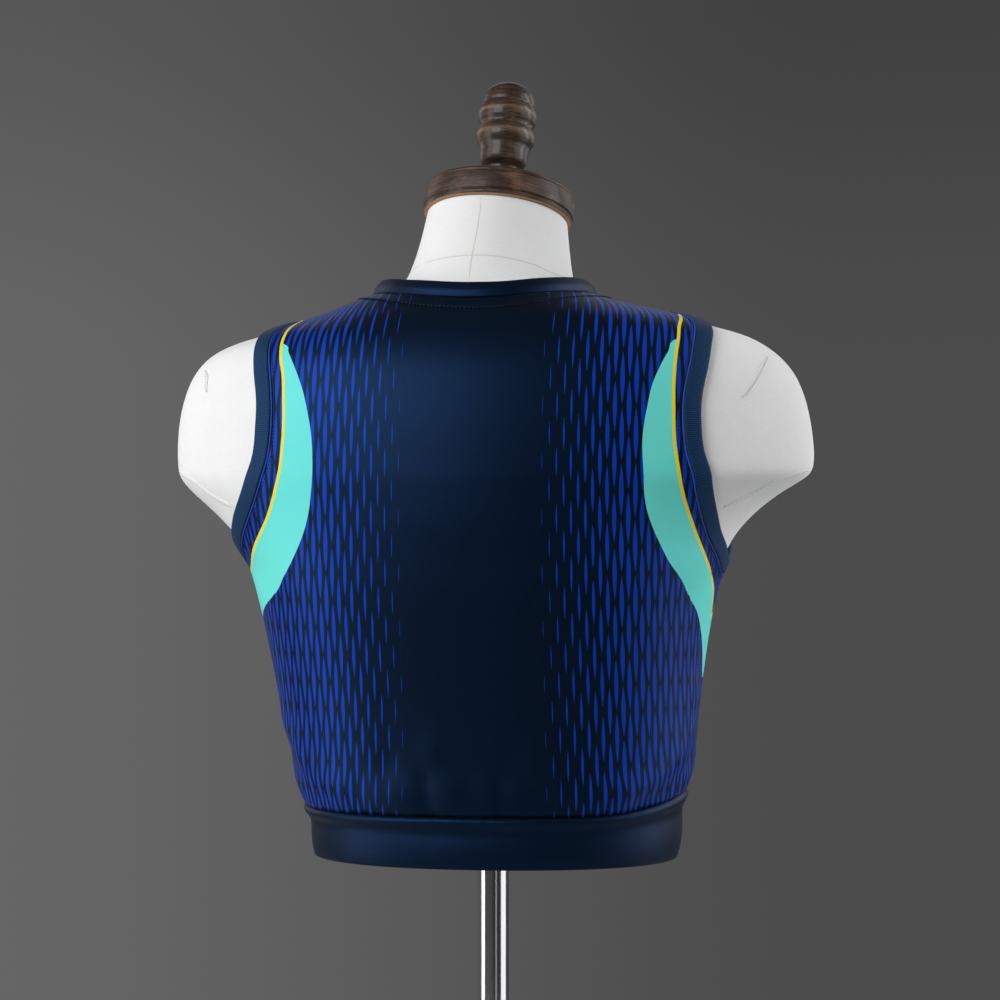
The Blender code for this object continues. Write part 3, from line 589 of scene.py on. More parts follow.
printed = printedJersey()
bandJersey = plainJersey("bandInterlockJersey", jersey["bandNavy"], jersey["bandLight"])
rib = ribKnit()
blackThread = sewingThread("blackPolyesterThread", "#05080d")
blueThread = sewingThread("royalPolyesterThread", "#2a4ca8")
seamThread = sewingThread("undyedCottonThread", "#dad5ca")
formCloth = formCotton()
print("cloth materials ready")


# printed shapes: piping line and mint crescent round each armhole

# (around, height) down the back, from the shoulder to the side; the front is their mirror.
pipingBack = {
    "left": [(0, 0.5860), (10.5, 0.5825), (14.0, 0.5805), (19.2, 0.5765), (22.5, 0.5725), (24.5, 0.5685),
             (26.5, 0.5630), (28.2, 0.5570), (30.5, 0.5475), (32.0, 0.5350), (33.0, 0.5195),
             (33.2, 0.5040), (32.5, 0.4845), (29.2, 0.4650), (24.5, 0.4500), (16.5, 0.4335),
             (8.0, 0.4235), (0, 0.4195)],
    "right": [(0, 0.5862), (6.0, 0.5855), (13.6, 0.5828), (21.0, 0.5765), (25.5, 0.5670), (28.8, 0.5550),
              (30.8, 0.5410), (31.8, 0.5250), (32.2, 0.5105), (32.0, 0.4975), (31.2, 0.4850),
              (29.0, 0.4730), (26.2, 0.4610), (22.2, 0.4465), (18.0, 0.4340), (14.8, 0.4270),
              (11.5, 0.4205), (7.5, 0.4115), (3.2, 0.4000), (0, 0.3960)],
}
crescentBack = {
    "left": [(12, 0.5740), (25.8, 0.5665), (28.8, 0.5615), (32.2, 0.5530), (35.0, 0.5435),
             (37.2, 0.5330), (39.5, 0.5160), (40.5, 0.5010), (40.8, 0.4855), (40.2, 0.4735),
             (39.0, 0.4610), (37.0, 0.4485), (33.8, 0.4355), (30.0, 0.4230), (25.2, 0.4115),
             (14.2, 0.3985), (6.0, 0.3900), (0, 0.3870)],
    "right": [(12, 0.5750), (25.5, 0.5680), (29.0, 0.5610), (32.5, 0.5515), (35.5, 0.5395),
              (37.5, 0.5245), (38.8, 0.5095), (39.0, 0.4945), (38.5, 0.4800), (37.0, 0.4655),
              (35.0, 0.4540), (32.2, 0.4415), (29.8, 0.4320), (26.2, 0.4225), (21.8, 0.4105),
              (17.2, 0.4005), (12.8, 0.3885), (8.5, 0.3755), (4.0, 0.3610), (0, 0.3560)],
}
frontShare = 0.93


def closedLoop(rows, side):
    # back rows, then the same rows mirrored to the front; angles from the left side
    back = np.array(rows, float)
    rest = back[-2::-1] if back[0, 0] > 0 else back[-2:0:-1]
    front = rest * (-frontShare, 1)
    loop = curveThrough(np.vstack([back, front]), 220, closed=True)
    if side == "right":
        loop[:, 0] = 180 - loop[:, 0]
    return loop


def lineDistance(points, line, closed=True):
    # least distance to the line's stretches: |p - a - t (b - a)|, t = (p - a).(b - a) / |b - a|^2 in 0..1
    ends = np.roll(line, -1, axis=0)
    start, run = (line, ends - line) if closed else (line[:-1], (ends - line)[:-1])
    result = np.empty(len(points))
    for part in np.array_split(np.arange(len(points)), max(1, len(points) // 4000)):
        off = points[part][:, None] - start
        t = np.clip(np.sum(off * run, axis=2) / np.maximum(np.sum(run * run, axis=1), 1e-14), 0, 1)
        result[part] = np.linalg.norm(off - t[..., None] * run, axis=2).min(axis=1)
    return result


def signedDistance(points, around, height, loop):
    # mm to the nearest stretch of the loop, negative inside it on the (around, height) chart
    away = lineDistance(points, clothPoint(loop[:, 0], loop[:, 1], garment["panelWall"], False)) * 1000
    x0, y0 = loop.T
    x1, y1 = np.roll(loop, -1, axis=0).T
    x, y = around[:, None], height[:, None]
    crossed = ((y0 > y) != (y1 > y)) & (x < x0 + (y - y0) / np.where(y1 == y0, 1e-12, y1 - y0) * (x1 - x0))
    return np.where(np.sum(crossed, axis=1) % 2 == 1, -away, away)


# arc length round each level ring, in mm from the middle of the front, -90 degrees
arcHeights = np.linspace(0.230, 0.612, 160)
arcStep = 0.5
arcAngles = np.linspace(-90, 270, 721)
backMiddle, fullTurn = 360, 720  # columns of the back's middle and of the front's, once round
arcPoints = loftPoint(arcAngles, arcHeights[:, None])
arcSteps = np.linalg.norm(np.diff(arcPoints, axis=1), axis=2)
arcRuns = np.concatenate([np.zeros((len(arcHeights), 1)), np.cumsum(arcSteps, axis=1)], axis=1) * 1000


def acrossFrom(around, height):
    # bilinear read of the arc length, less its value at the panel's middle (90 or -90)
    wrapped = np.mod(np.asarray(around) + 90, 360) - 90
    row = np.interp(height, arcHeights, np.arange(len(arcHeights)))
    place = (wrapped + 90) / arcStep
    r = np.minimum(row.astype(int), len(arcHeights) - 2)
    c = np.minimum(place.astype(int), len(arcAngles) - 2)
    fr, fc = row - r, place - c
    value = ((1 - fr) * ((1 - fc) * arcRuns[r, c] + fc * arcRuns[r, c + 1])
             + fr * ((1 - fc) * arcRuns[r + 1, c] + fc * arcRuns[r + 1, c + 1]))
    middle, whole = ((1 - fr) * arcRuns[r, at] + fr * arcRuns[r + 1, at] for at in (backMiddle, fullTurn))
    back = value - middle
    front = np.where(wrapped < 0, value, value - whole)
    return np.where((wrapped >= 0) & (wrapped <= 180), back, front)


panelGrid = {"columns": 210, "sideRows": 46, "armholeRows": 84, "shoulderRows": 24, "evenings": 900,
             "backLevels": (0.412, 0.565), "frontLevels": (0.392, 0.500),  # beside the armhole's two ends
             "edgeTurn": 0.0005, "edgeSpread": 0.0016}  # the outer face turns down at its sewn edges
fadeSpan = {"start": 38.0, "full": 94.0}  # mm from the panel's middle


def makePanel(name, front, node):
    # rows join the two side edges: hem, armhole and shoulder; columns lie closer at the seams
    leftAround, leftHeight = armholeCurve(False, panelGrid["armholeRows"])
    rightAround, rightHeight = armholeCurve(True, panelGrid["armholeRows"])
    sign = -1 if front else 1
    picks = sign * np.arange(panelGrid["armholeRows"] + 1) % (2 * panelGrid["armholeRows"])
    neck = neckSeamHeight([0.0, 180.0, sign * 90.0])

    def edge(edgeAround, edgeHeight, plain, top):
        foot = hemTop(plain) + garment["seamGap"] / 2
        below = np.linspace(foot, edgeHeight[0], panelGrid["sideRows"], endpoint=False)
        above = np.linspace(edgeHeight[panelGrid["armholeRows"]], top, panelGrid["shoulderRows"] + 1)[1:]
        return (np.concatenate([plain + 0 * below, edgeAround[picks], plain + 0 * above]),
                np.concatenate([below, edgeHeight[picks], above]))

    starts, startHeights = edge(leftAround, leftHeight, 0.0, neck[0])
    ends, endHeights = edge(rightAround, rightHeight, 180.0, neck[1])
    gapAngle = math.degrees(garment["seamGap"] / 2 / 0.12)  # half the gap, 0.12 m from the axis
    starts = np.abs(starts) + np.where(starts == 0, gapAngle, 0)
    ends = 180 - np.abs(180 - ends) - np.where(ends == 180, gapAngle, 0)
    last = len(starts) - 1
    stops = (0, panelGrid["sideRows"], panelGrid["sideRows"] + panelGrid["armholeRows"], last)
    levels = panelGrid["frontLevels" if front else "backLevels"]
    centre = np.interp(np.arange(last + 1), stops, (garment["hemSeam"], *levels, neck[2]))
    even = np.linspace(0, 1, panelGrid["columns"] + 1)
    share = 0.75 * even + 0.25 * (0.5 - 0.5 * np.cos(np.pi * even))
    around = sign * (starts[:, None] + (ends - starts)[:, None] * share)
    level = startHeights[:, None] + (endHeights - startHeights)[:, None] * share
    topLevel = neck[0] + (neck[1] - neck[0]) * share
    half = len(share) // 2
    dip = (neckSeamHeight(around[-1]) - topLevel) / (neck[2] - topLevel[half])
    height = level + dip * (centre - level[:, half])[:, None]
    height[0] = hemTop(around[0]) + garment["seamGap"] / 2
    # even the grid out: each inner point moves to the mean of its four neighbours
    grid = np.stack([around, height * math.degrees(1 / foldRadius)], axis=-1)
    for _ in range(panelGrid["evenings"]):
        grid[1:-1, 1:-1] = 0.25 * (grid[:-2, 1:-1] + grid[2:, 1:-1] + grid[1:-1, :-2] + grid[1:-1, 2:])
    rows, columns = around.shape
    a, h = grid[..., 0].ravel(), grid[..., 1].ravel() / math.degrees(1 / foldRadius)
    outer = clothPoint(a, h, garment["panelWall"])
    inner = clothPoint(a, h, 0.0)
    local = np.mod(a + 90, 360) - 90
    across = acrossFrom(a, h)
    piping, crescent = np.full(len(a), 80.0), np.full(len(a), 80.0)
    for side, near in (("left", np.abs(local) < 60), ("right", np.abs(local - 180) < 60)):
        place = np.where(near)[0]
        for table, field in ((pipingBack, piping), (crescentBack, crescent)):
            field[place] = signedDistance(outer[place], local[place], h[place], closedLoop(table[side], side))
    index = np.arange(rows * columns).reshape(rows, columns)
    away = lineDistance(outer, outer[gridRim(index)])
    neckAway = lineDistance(outer, outer[index[-1]], False)
    turnedDown = panelGrid["edgeTurn"] * np.exp(-(away / panelGrid["edgeSpread"]) ** 2)
    outer = outer - loftNormal(a, h) * turnedDown[:, None]
    grown = np.clip((np.abs(across) - fadeSpan["start"]) / (fadeSpan["full"] - fadeSpan["start"]), 0, 1)
    fade = 1.05 * grown ** 0.8 - 0.05
    values = {"across": across, "up": h * 1000, "fade": fade, "pipingEdge": piping, "crescentEdge": crescent,
              "neckAway": neckAway * 1000}
    return addPiece(name, np.concatenate([outer, inner]), [wallFaces(rows, columns)], printed,
                    {key: np.tile(value, 2) for key, value in values.items()}, (node,))


backPanel = makePanel("backPanel", False, "back_panel")
frontPanel = makePanel("frontPanel", True, "front_panel")
print("panels made")


# bands

def runLengths(points):
    # mm along a closed line from its first point
    steps = np.linalg.norm(np.roll(points, -1, axis=0) - points, axis=1)
    return np.concatenate([[0], np.cumsum(steps)[:-1]]) * 1000


def ripple(run, *parts):
    # sum of amount sin(run / length + phase)
    return sum(amount * np.sin(run / length + phase) for amount, length, phase in parts)


def bandValues(run, profile):
    # mm along the band, and across it, for each corner of its grid
    return {"across": np.repeat(run[:, None], len(profile), axis=1),
            "up": np.repeat(profile[None, :, 0] * 1000, len(run), axis=0)}


bandFace = {"rows": 12, "seamDip": 0.0004, "armholeCrown": 0.0004, "neckCrown": 0.0005}


def bandProfile(width, wall, crown):
    # (along, out) of a folded strip: seam edge, crowned face, round fold, flat back
    turn = np.linspace(0, np.pi, 7)
    face = np.linspace(garment["seamGap"], width - wall / 2, bandFace["rows"])
    outside = np.stack([face, wall + crown * np.sin(np.pi * np.clip(face / width, 0, 1)) ** 0.7], axis=1)
    outside[0, 1] = wall - bandFace["seamDip"]
    half = wall / 2
    fold = np.stack([width - half + half * np.sin(turn), half + half * np.cos(turn)], axis=1)[1:-1]
    inside = np.stack([face[::-3], np.zeros(len(face[::-3]))], axis=1)
    return np.concatenate([outside, fold, inside])


def makeArmholeBand(name, mirror, node):
    # the profile carried round the seam, each row at its own walk out from it
    around, height = armholeCurve(mirror, 150)
    steps = 8
    lines = walkAcross(around, height, 1 if mirror else -1, garment["armholeBand"] / steps, steps)
    profile = bandProfile(garment["armholeBand"], garment["armholeWall"], bandFace["armholeCrown"])
    places = profile[:, 0] / garment["armholeBand"] * steps
    low = np.clip(places.astype(int), 0, steps - 1)
    part = places - low
    spread = lines[low] * (1 - part)[:, None, None] + lines[low + 1] * part[:, None, None]
    arounds, heights = spread[:, 0].T, spread[:, 1].T
    run = runLengths(clothPoint(around, height, 0.0, False))
    ease = ripple(run, (0.00018, 9.5, 0), (0.00012, 5.3, 1))
    grow = (profile[:, 0] / garment["armholeBand"])[None, :]
    points = clothPoint(arounds, heights, profile[None, :, 1] + ease[:, None] * grow, False)
    return addPiece(name, points, [closedTube(len(run), len(profile))], rib, bandValues(run, profile),
                    (node,))


armholeBandLeft = makeArmholeBand("armholeBandLeft", False, "armhole_band_left")
armholeBandRight = makeArmholeBand("armholeBandRight", True, "armhole_band_right")


neckbandStand = {"steeperFront": 16.0, "steeperBack": 6.0,  # degrees over the rise at the sides
                 "softShare": 0.45, "lap": 0.0006, "sink": 0.0003}


def makeNeckband():
    # a folded strip that stands up along the neck, with its first row lapped under the seam
    around = np.linspace(0, 360, 480, endpoint=False)
    height = neckSeamHeight(around)
    seam = clothPoint(around, height, 0.0)
    normals = loftNormal(around, height)
    tangent = unit(np.roll(seam, -1, axis=0) - np.roll(seam, 1, axis=0))
    sine = np.sin(np.radians(around))
    steeper = np.where(sine < 0, neckbandStand["steeperFront"], neckbandStand["steeperBack"])
    rise = np.radians(garment["neckbandRise"] + steeper * sine ** 2)[:, None]
    outward = np.stack([np.cos(np.radians(around)), sine, 0 * sine], axis=1)
    across = np.array([0, 0, 1.0]) * np.sin(rise) - outward * np.cos(rise)
    across = unit(across - tangent * np.sum(across * tangent, axis=1, keepdims=True))
    facing = np.cross(across, tangent)
    facing = facing * np.sign(np.sum(facing * outward))
    upward = np.cross(normals, tangent)
    upward = unit(upward * np.sign(np.sum(upward * across)))
    base = seam + upward * garment["seamGap"]
    profile = bandProfile(garment["neckband"], garment["neckWall"], bandFace["neckCrown"])
    # the face rises softly from the body: wall height times smoothstep over its first share
    face = profile[:bandFace["rows"]]
    soft = np.clip(face[:, 0] / (neckbandStand["softShare"] * garment["neckband"]), 0, 1)
    soft = soft * soft * (3 - 2 * soft)
    face[:, 1] = garment["panelWall"] + (face[:, 1] - garment["panelWall"]) * soft
    profile[:, 0] -= garment["seamGap"]
    run = runLengths(seam)
    ease = ripple(run, (0.00022, 13, 0), (0.00012, 6.1, 2))
    out = profile[None, :, 1] + ease[:, None] * (profile[None, :, 0] / garment["neckband"]) ** 2
    points = base[:, None] + profile[None, :, :1] * across[:, None] + out[..., None] * facing[:, None]
    sunk = garment["panelWall"] - neckbandStand["sink"]
    points[:, 0] = base - upward * neckbandStand["lap"] + normals * sunk
    return addPiece("neckBand", points, [closedTube(len(run), len(profile))], bandJersey,
                    bandValues(run, profile), ("neckband",))


neckBand = makeNeckband()


hemRoll = {  # mm under the seam and out from the form: a soft roll, a valley and the face
    "below": (0, 0.8, 1.8, 3.0, 4.4, 6.0, 7.8, 9.6, 11.8, 14.4, 17.4, 20.4, 23.4, 26.2, 28.6, 30.2),
    "out": (0.9, 2.2, 3.0, 3.3, 3.0, 2.2, 1.4, 1.1, 1.25, 1.8, 2.35, 2.7, 2.85, 2.8, 2.55, 2.2),
    "foldHeight": 0.0012, "insideStart": 0.0016, "insideRows": 8,
    "rollEase": 0.0006, "faceEase": 0.0004, "pucker": 0.00018,
}


def makeHemBand():
    # doubled band: the profile (height, out) round the body, eased by slow waves and small puckers
    top, bottom = garment["hemSeam"] - garment["seamGap"] / 2, garment["hemBottom"]
    turn = np.linspace(0, np.pi, 8)[1:-1]
    fold = np.stack([bottom + hemRoll["foldHeight"] * (1 - np.sin(turn)),
                     garment["hemWall"] / 2 * (1 + np.cos(turn))], axis=1)
    outside = np.stack([top - np.array(hemRoll["below"]) / 1000, np.array(hemRoll["out"]) / 1000], axis=1)
    inside = np.linspace((bottom + hemRoll["insideStart"], 0), (top, 0), hemRoll["insideRows"])
    profile = np.concatenate([outside, fold, inside])
    around = np.linspace(0, 360, 480, endpoint=False)
    depth = (top - profile[:, 0]) / (top - bottom)
    face = np.concatenate([np.ones(len(outside)), np.linspace(1, 0, len(fold)), np.zeros(len(inside))])
    slow, middling, small = (np.interp(around, waveAngles, shape)[:, None]
                             for shape in (blouseWaves, waves(waveAngles, 8, 5, 3, 12), puckerWaves))
    roll = slow * np.exp(-((depth - 0.12) / 0.10) ** 2) * hemRoll["rollEase"]
    wave = middling * np.sin(np.pi * np.clip(depth, 0, 1)) * hemRoll["faceEase"]
    pucker = small * np.exp(-(depth / 0.2) ** 2) * hemRoll["pucker"]
    stretch = (hemTop(around) - garment["seamGap"] / 2 - bottom) / (top - bottom)
    heights = bottom + (profile[None, :, 0] - bottom) * stretch[:, None]
    points = clothPoint(around[:, None], heights, profile[None, :, 1] + (roll + wave + pucker) * face, False)
    run = runLengths(clothPoint(around, np.full(len(around), 0.26), 0.002, False))  # at the band's middle
    return addPiece("hemBand", points, [closedTube(len(around), len(profile))], bandJersey,
                    bandValues(run, profile), ("hem_band",))


hemBand = makeHemBand()
print("bands made")


# sewing

def evenPlaces(points, normals, pitch, closed):
    # places at an even pitch along a line, with its direction and the normals between
    if closed:
        points, normals = np.vstack([points, points[:1]]), np.vstack([normals, normals[:1]])
    run = np.concatenate([[0], np.cumsum(np.linalg.norm(np.diff(points, axis=0), axis=1))])
    count = int(run[-1] / pitch)
    at = (np.arange(count) + 0.5) * run[-1] / count

    def read(values, where):
        return np.stack([np.interp(where, run, values[:, i]) for i in range(3)], axis=1)

    before, after = (read(points, np.clip(at + step, 0, run[-1])) for step in (-pitch / 4, pitch / 4))
    return read(points, at), unit(after - before), unit(read(normals, at))


def evenlyAlong(around, height, out, pitch):
    # the same along a closed line on the cloth
    return evenPlaces(clothPoint(around, height, out), loftNormal(around, height), pitch, True)


def stitches(name, place, along, facing, length, width, material, slant=0.0):
    # one blunt spindle for each stitch, half sunk: radius over (t, angle), five rings of six points
    t = np.array([-0.5, -0.36, 0.0, 0.36, 0.5])
    radius = width / 2 * np.array([0.35, 0.85, 1.0, 0.85, 0.35])
    angle = np.arange(6) * np.pi / 3
    along = unit(along + slant * np.cross(facing, along))
    across = np.cross(facing, along)
    bodies = (place[:, None, None]
              + along[:, None, None] * (t * length)[None, :, None, None]
              + across[:, None, None] * (radius[:, None] * np.cos(angle))[None, :, :, None]
              + facing[:, None, None] * (radius[:, None] * np.sin(angle) * 0.8)[None, :, :, None])
    each = np.arange(30).reshape(5, 6)
    turned = np.roll(each, -1, axis=1)
    quads = np.stack([each[:-1], each[1:], turned[1:], turned[:-1]], axis=-1).reshape(-1, 4)
    caps = np.stack([each[0], each[-1, ::-1]])
    shift = (np.arange(len(place)) * 30)[:, None, None]
    return addPiece(name, bodies, [(quads + shift).reshape(-1, 4), (caps + shift).reshape(-1, 6)], material)


def ridge(name, place, along, facing, width, rise, material, closed=True):
    # a cord of oval section, w/2 cos and h sin, half sunk; an open one thins to a point at its ends
    angle = np.arange(8) * np.pi / 4
    across = np.cross(facing, along)
    number = np.arange(len(place))
    thinned = np.sqrt(np.clip(np.minimum(number, number[::-1]) / 6, 0.1, 1))[:, None]
    size = np.ones((len(place), 1)) if closed else thinned
    points = (place[:, None] + across[:, None] * (width / 2 * size * np.cos(angle))[..., None]
              + facing[:, None] * (rise * size * np.sin(angle))[..., None])
    if closed:
        return addPiece(name, points, [closedTube(len(place), 8)], material)
    points = np.concatenate([points.reshape(-1, 3), place[:1], place[-1:]])
    return addPiece(name, points, lathFaces(len(place), 8), material)


sewing = {  # m: pitch, length and thread of the stitches, and how far they lie from the face
    "neck": {"pitch": 0.0027, "stitch": 0.0019, "thread": 0.0012, "slant": 0.45, "lift": 0.0002},
    "armhole": {"pitch": 0.0024, "stitch": 0.0019 * 0.75, "thread": 0.0006, "away": 0.0028, "lift": 0.0001},
    "overlock": {"pitch": 0.0012, "width": 0.0011, "rise": 0.0006, "lift": -0.0001},
}
walkSteps = 6
neckAround = np.linspace(0, 360, 720, endpoint=False)
sizes = sewing["neck"]
step = jersey["coverstitchAway"] / 1000 / walkSteps
neckLines = walkAcross(neckAround, neckSeamHeight(neckAround), 1, step, walkSteps)
places = evenlyAlong(*neckLines[-1], garment["panelWall"] + sizes["lift"], sizes["pitch"])
sewn = [stitches("neckCoverstitch", *places, sizes["stitch"], sizes["thread"], blackThread, sizes["slant"])]
for side, mirror in (("Left", False), ("Right", True)):
    sizes = sewing["armhole"]
    inward = walkAcross(*armholeCurve(mirror, 360), -1 if mirror else 1, sizes["away"] / walkSteps, walkSteps)
    places = evenlyAlong(*inward[-1], garment["panelWall"] + sizes["lift"], sizes["pitch"])
    sewn.append(stitches("armholeStitches" + side, *places, sizes["stitch"], sizes["thread"], blackThread))
    sizes = sewing["overlock"]
    places = evenlyAlong(*inward[1], garment["panelWall"] + sizes["lift"], sizes["pitch"])
    sewn.append(ridge("armholeOverlock" + side, *places, sizes["width"], sizes["rise"], blueThread))
print("sewing made")


# dress form

formSizes = {"bottom": 0.262, "neckStart": 0.606, "neckTop": (-0.0012, -0.013, 0.6525), "neckRadius": 0.0460,
             "tilt": 15.0, "roll": 3.5,  # degrees that the neck's top leans
             "footRound": 0.003, "footShrink": 0.03, "lidStep": 0.001,
             "segments": 288, "bodyRings": 150, "neckRings": 40}


def neckTurn():
    # turn about Y by minus the roll, after a turn about X by the tilt
    tilt, roll = math.radians(formSizes["tilt"]), math.radians(formSizes["roll"])
    aboutX = np.array([(1, 0, 0), (0, math.cos(tilt), -math.sin(tilt)), (0, math.sin(tilt), math.cos(tilt))])
    aboutY = np.array([(math.cos(roll), 0, -math.sin(roll)), (0, 1, 0), (math.sin(roll), 0, math.cos(roll))])
    return aboutY @ aboutX


def formPoint(around, level):
    # level 0..1: the loft up to the neck's start; 1..2: a blend of it with the tilted neck ring,
    # by the square root of the share sideways and by the share in height
    around, level = np.broadcast_arrays(np.asarray(around, float), np.asarray(level, float))
    height = formSizes["bottom"] + (formSizes["neckStart"] - formSizes["bottom"]) * np.clip(level, 0, 1)
    foot = loftPoint(around, height)
    circle = np.stack([np.cos(np.radians(around)), np.sin(np.radians(around)), 0 * around], axis=-1)
    top = np.array(formSizes["neckTop"]) + formSizes["neckRadius"] * circle @ neckTurn().T
    share = np.clip(level - 1, 0, 1)[..., None]
    blend = np.concatenate([share ** 0.5, share ** 0.5, share], axis=-1)
    return foot * (1 - blend) + top * blend


def makeForm():
    # rings up the loft and the neck, three that round the foot by (1 - shrink p^2, -round p), and a lid
    around = np.linspace(0, 360, formSizes["segments"], endpoint=False)
    levels = np.concatenate([np.linspace(0, 1, formSizes["bodyRings"], endpoint=False),
                             1 + np.linspace(0, 1, formSizes["neckRings"]) ** 1.6])
    points = formPoint(around, levels[:, None])
    part = np.array([1.0, 0.7, 0.3])[:, None]
    shrunk = 1 - formSizes["footShrink"] * part ** 2
    rounded = points[0] * np.stack([shrunk, shrunk, shrunk ** 0], axis=-1)
    rounded[..., 2] -= formSizes["footRound"] * part
    turn = neckTurn()
    circle = np.stack([np.cos(np.radians(around)), np.sin(np.radians(around)), 0 * around], axis=1)
    lid = (np.array(formSizes["neckTop"]) + (formSizes["neckRadius"] - formSizes["lidStep"]) * circle @ turn.T
           + turn @ np.array([0, 0, formSizes["lidStep"]]))
    rings = np.concatenate([rounded, points, lid[None]])
    ends = np.stack([rings[0].mean(axis=0), rings[-1].mean(axis=0)])
    points = np.concatenate([rings.reshape(-1, 3), ends])
    return addPiece("formBody", points, lathFaces(len(rings), len(around)), formCloth, None,
                    ("form_body",), 50)


formBody = makeForm()

# seams of the form's cover: (around, level) rows, the front ones guessed from the back
formSeams = {
    "centreBack": [(83.2, 1.994), (83.0, 1.837), (82.2, 1.671), (80.8, 1.503), (79.5, 1.336),
                   (79.2, 1.168), (80.2, 1.02)],
    "centreFront": [(270, 1.994), (270, 1.66), (270, 1.33), (270, 1.02)],
    "neckRoot": [(33.5, 1.287), (48.0, 1.310), (61.5, 1.327), (79.5, 1.336), (96.8, 1.327),
                 (110.5, 1.300), (128, 1.251), (144.5, 1.177), (168, 1.130), (200, 1.090), (235, 1.055),
                 (270, 1.045), (305, 1.060), (340, 1.110), (368, 1.200), (393.5, 1.287)],
}
capSeams = {
    "RightBack": [(176.5, 0.6593), (172.8, 0.6517), (170.2, 0.6404), (168.5, 0.6290), (167.0, 0.6139),
                  (164.5, 0.6007), (162.2, 0.5912)],
    "LeftBack": [(3.5, 0.6593), (7.2, 0.6517), (9.8, 0.6404), (11.5, 0.6290), (13.0, 0.6139),
                 (15.5, 0.6007), (17.8, 0.5912)],
}
capSeams.update({key.replace("Back", "Front"): [(360 - around, level) for around, level in rows]
                 for key, rows in capSeams.items()})
darts = {
    "RightBack": [(172, 0.8673), (169, 0.8484), (166.8, 0.8314), (164.5, 0.8106), (162, 0.7898)],
    "LeftBack": [(9.0, 0.8484), (10.8, 0.8333), (11.8, 0.8181), (13.0, 0.8049)],
    "RightFront": [(188, 0.8673), (191, 0.8484), (193.2, 0.8314), (195.5, 0.8106), (198, 0.7898)],
    "LeftFront": [(351, 0.8484), (349.2, 0.8333), (348.2, 0.8181), (347, 0.8049)],
}


def formLine(rows, pitch, out):
    # a curve through the rows on the form, moved out along its normals: cross of turn and climb steps
    around, level = curveThrough(rows, 240).T
    turned = formPoint(around + 0.3, level) - formPoint(around - 0.3, level)
    climbed = formPoint(around, level + 0.002) - formPoint(around, level - 0.002)
    normals = unit(np.cross(turned, climbed))
    return evenPlaces(formPoint(around, level) + normals * out, normals, pitch, False)


coverSewing = {  # m: welts have a width and a rise, stitches a length, a thread and a slant
    "seam": {"pitch": 0.0015, "width": 0.0007, "rise": 0.00012},
    "capWelt": {"pitch": 0.0015, "width": 0.0040, "rise": 0.00045},
    "capStitches": {"pitch": 0.0030, "lift": 0.0004, "stitch": 0.0017, "thread": 0.0006, "slant": 0.0},
    "dartWelt": {"pitch": 0.0012, "width": 0.0045, "rise": 0.0006},
    "dartStitches": {"pitch": 0.0020, "lift": 0.0008, "stitch": 0.0022, "thread": 0.0005, "slant": 1.1},
}
sizes = coverSewing["seam"]
for key, rows in formSeams.items():
    places = formLine(rows, sizes["pitch"], 0.0)
    ridge("formSeam" + key[0].upper() + key[1:], *places, sizes["width"], sizes["rise"], seamThread, False)
for kind, lines in (("cap", capSeams), ("dart", darts)):
    for key, rows in lines.items():
        sizes = coverSewing[kind + "Welt"]
        places = formLine(rows, sizes["pitch"], 0.0)
        ridge(kind + "Welt" + key, *places, sizes["width"], sizes["rise"], formCloth, False)
        sizes = coverSewing[kind + "Stitches"]
        places = formLine(rows, sizes["pitch"], sizes["lift"])
        stitches(kind + "Stitches" + key, *places, sizes["stitch"], sizes["thread"], seamThread,
                 sizes["slant"])


def turnedPiece(name, profile, segments, origin, turn, material, node):
    # (r cos a, r sin a, h) for each row of the profile, turned and moved to its place
    angle = np.linspace(0, 2 * np.pi, segments, endpoint=False)
    profile = np.asarray(profile, float)
    flat = np.stack([profile[:, :1] * np.cos(angle), profile[:, :1] * np.sin(angle),
                     np.repeat(profile[:, 1:], segments, axis=1)], axis=-1)
    rings = np.asarray(origin) + flat @ turn.T
    ends = np.stack([rings[0].mean(axis=0), rings[-1].mean(axis=0)])
    points = np.concatenate([rings.reshape(-1, 3), ends])
    return addPiece(name, points, lathFaces(len(rings), segments), material, None, (node,), 35)


# heights over the cap's foot where the knob's bead crests are painted a lighter tan: partly rubbed wear,
# partly a painted highlight of the sheen they catch
capWoodLook = {"tones": ("#1f160f", "#423025", "#795c49"), "coat": 0.10, "fibres": (45, 45, 900),
               "wornRings": ()}
knobWoodLook = {"tones": ("#140f0b", "#372820", "#674d3c"), "coat": 0.30, "fibres": (70, 70, 800),
                "wornRings": (0.0575, 0.0725)}
# the lighter tan of the bead crests is partly wear and partly a painted highlight
woodMarks = {"pore": "#0d0907", "worn": "#a3866b", "knot": "#1a120d", "edgeDark": "#94704f",
             "edgeLight": "#c9a57f", "knotRings": 4200.0}  # radians of the knot's rings in a metre


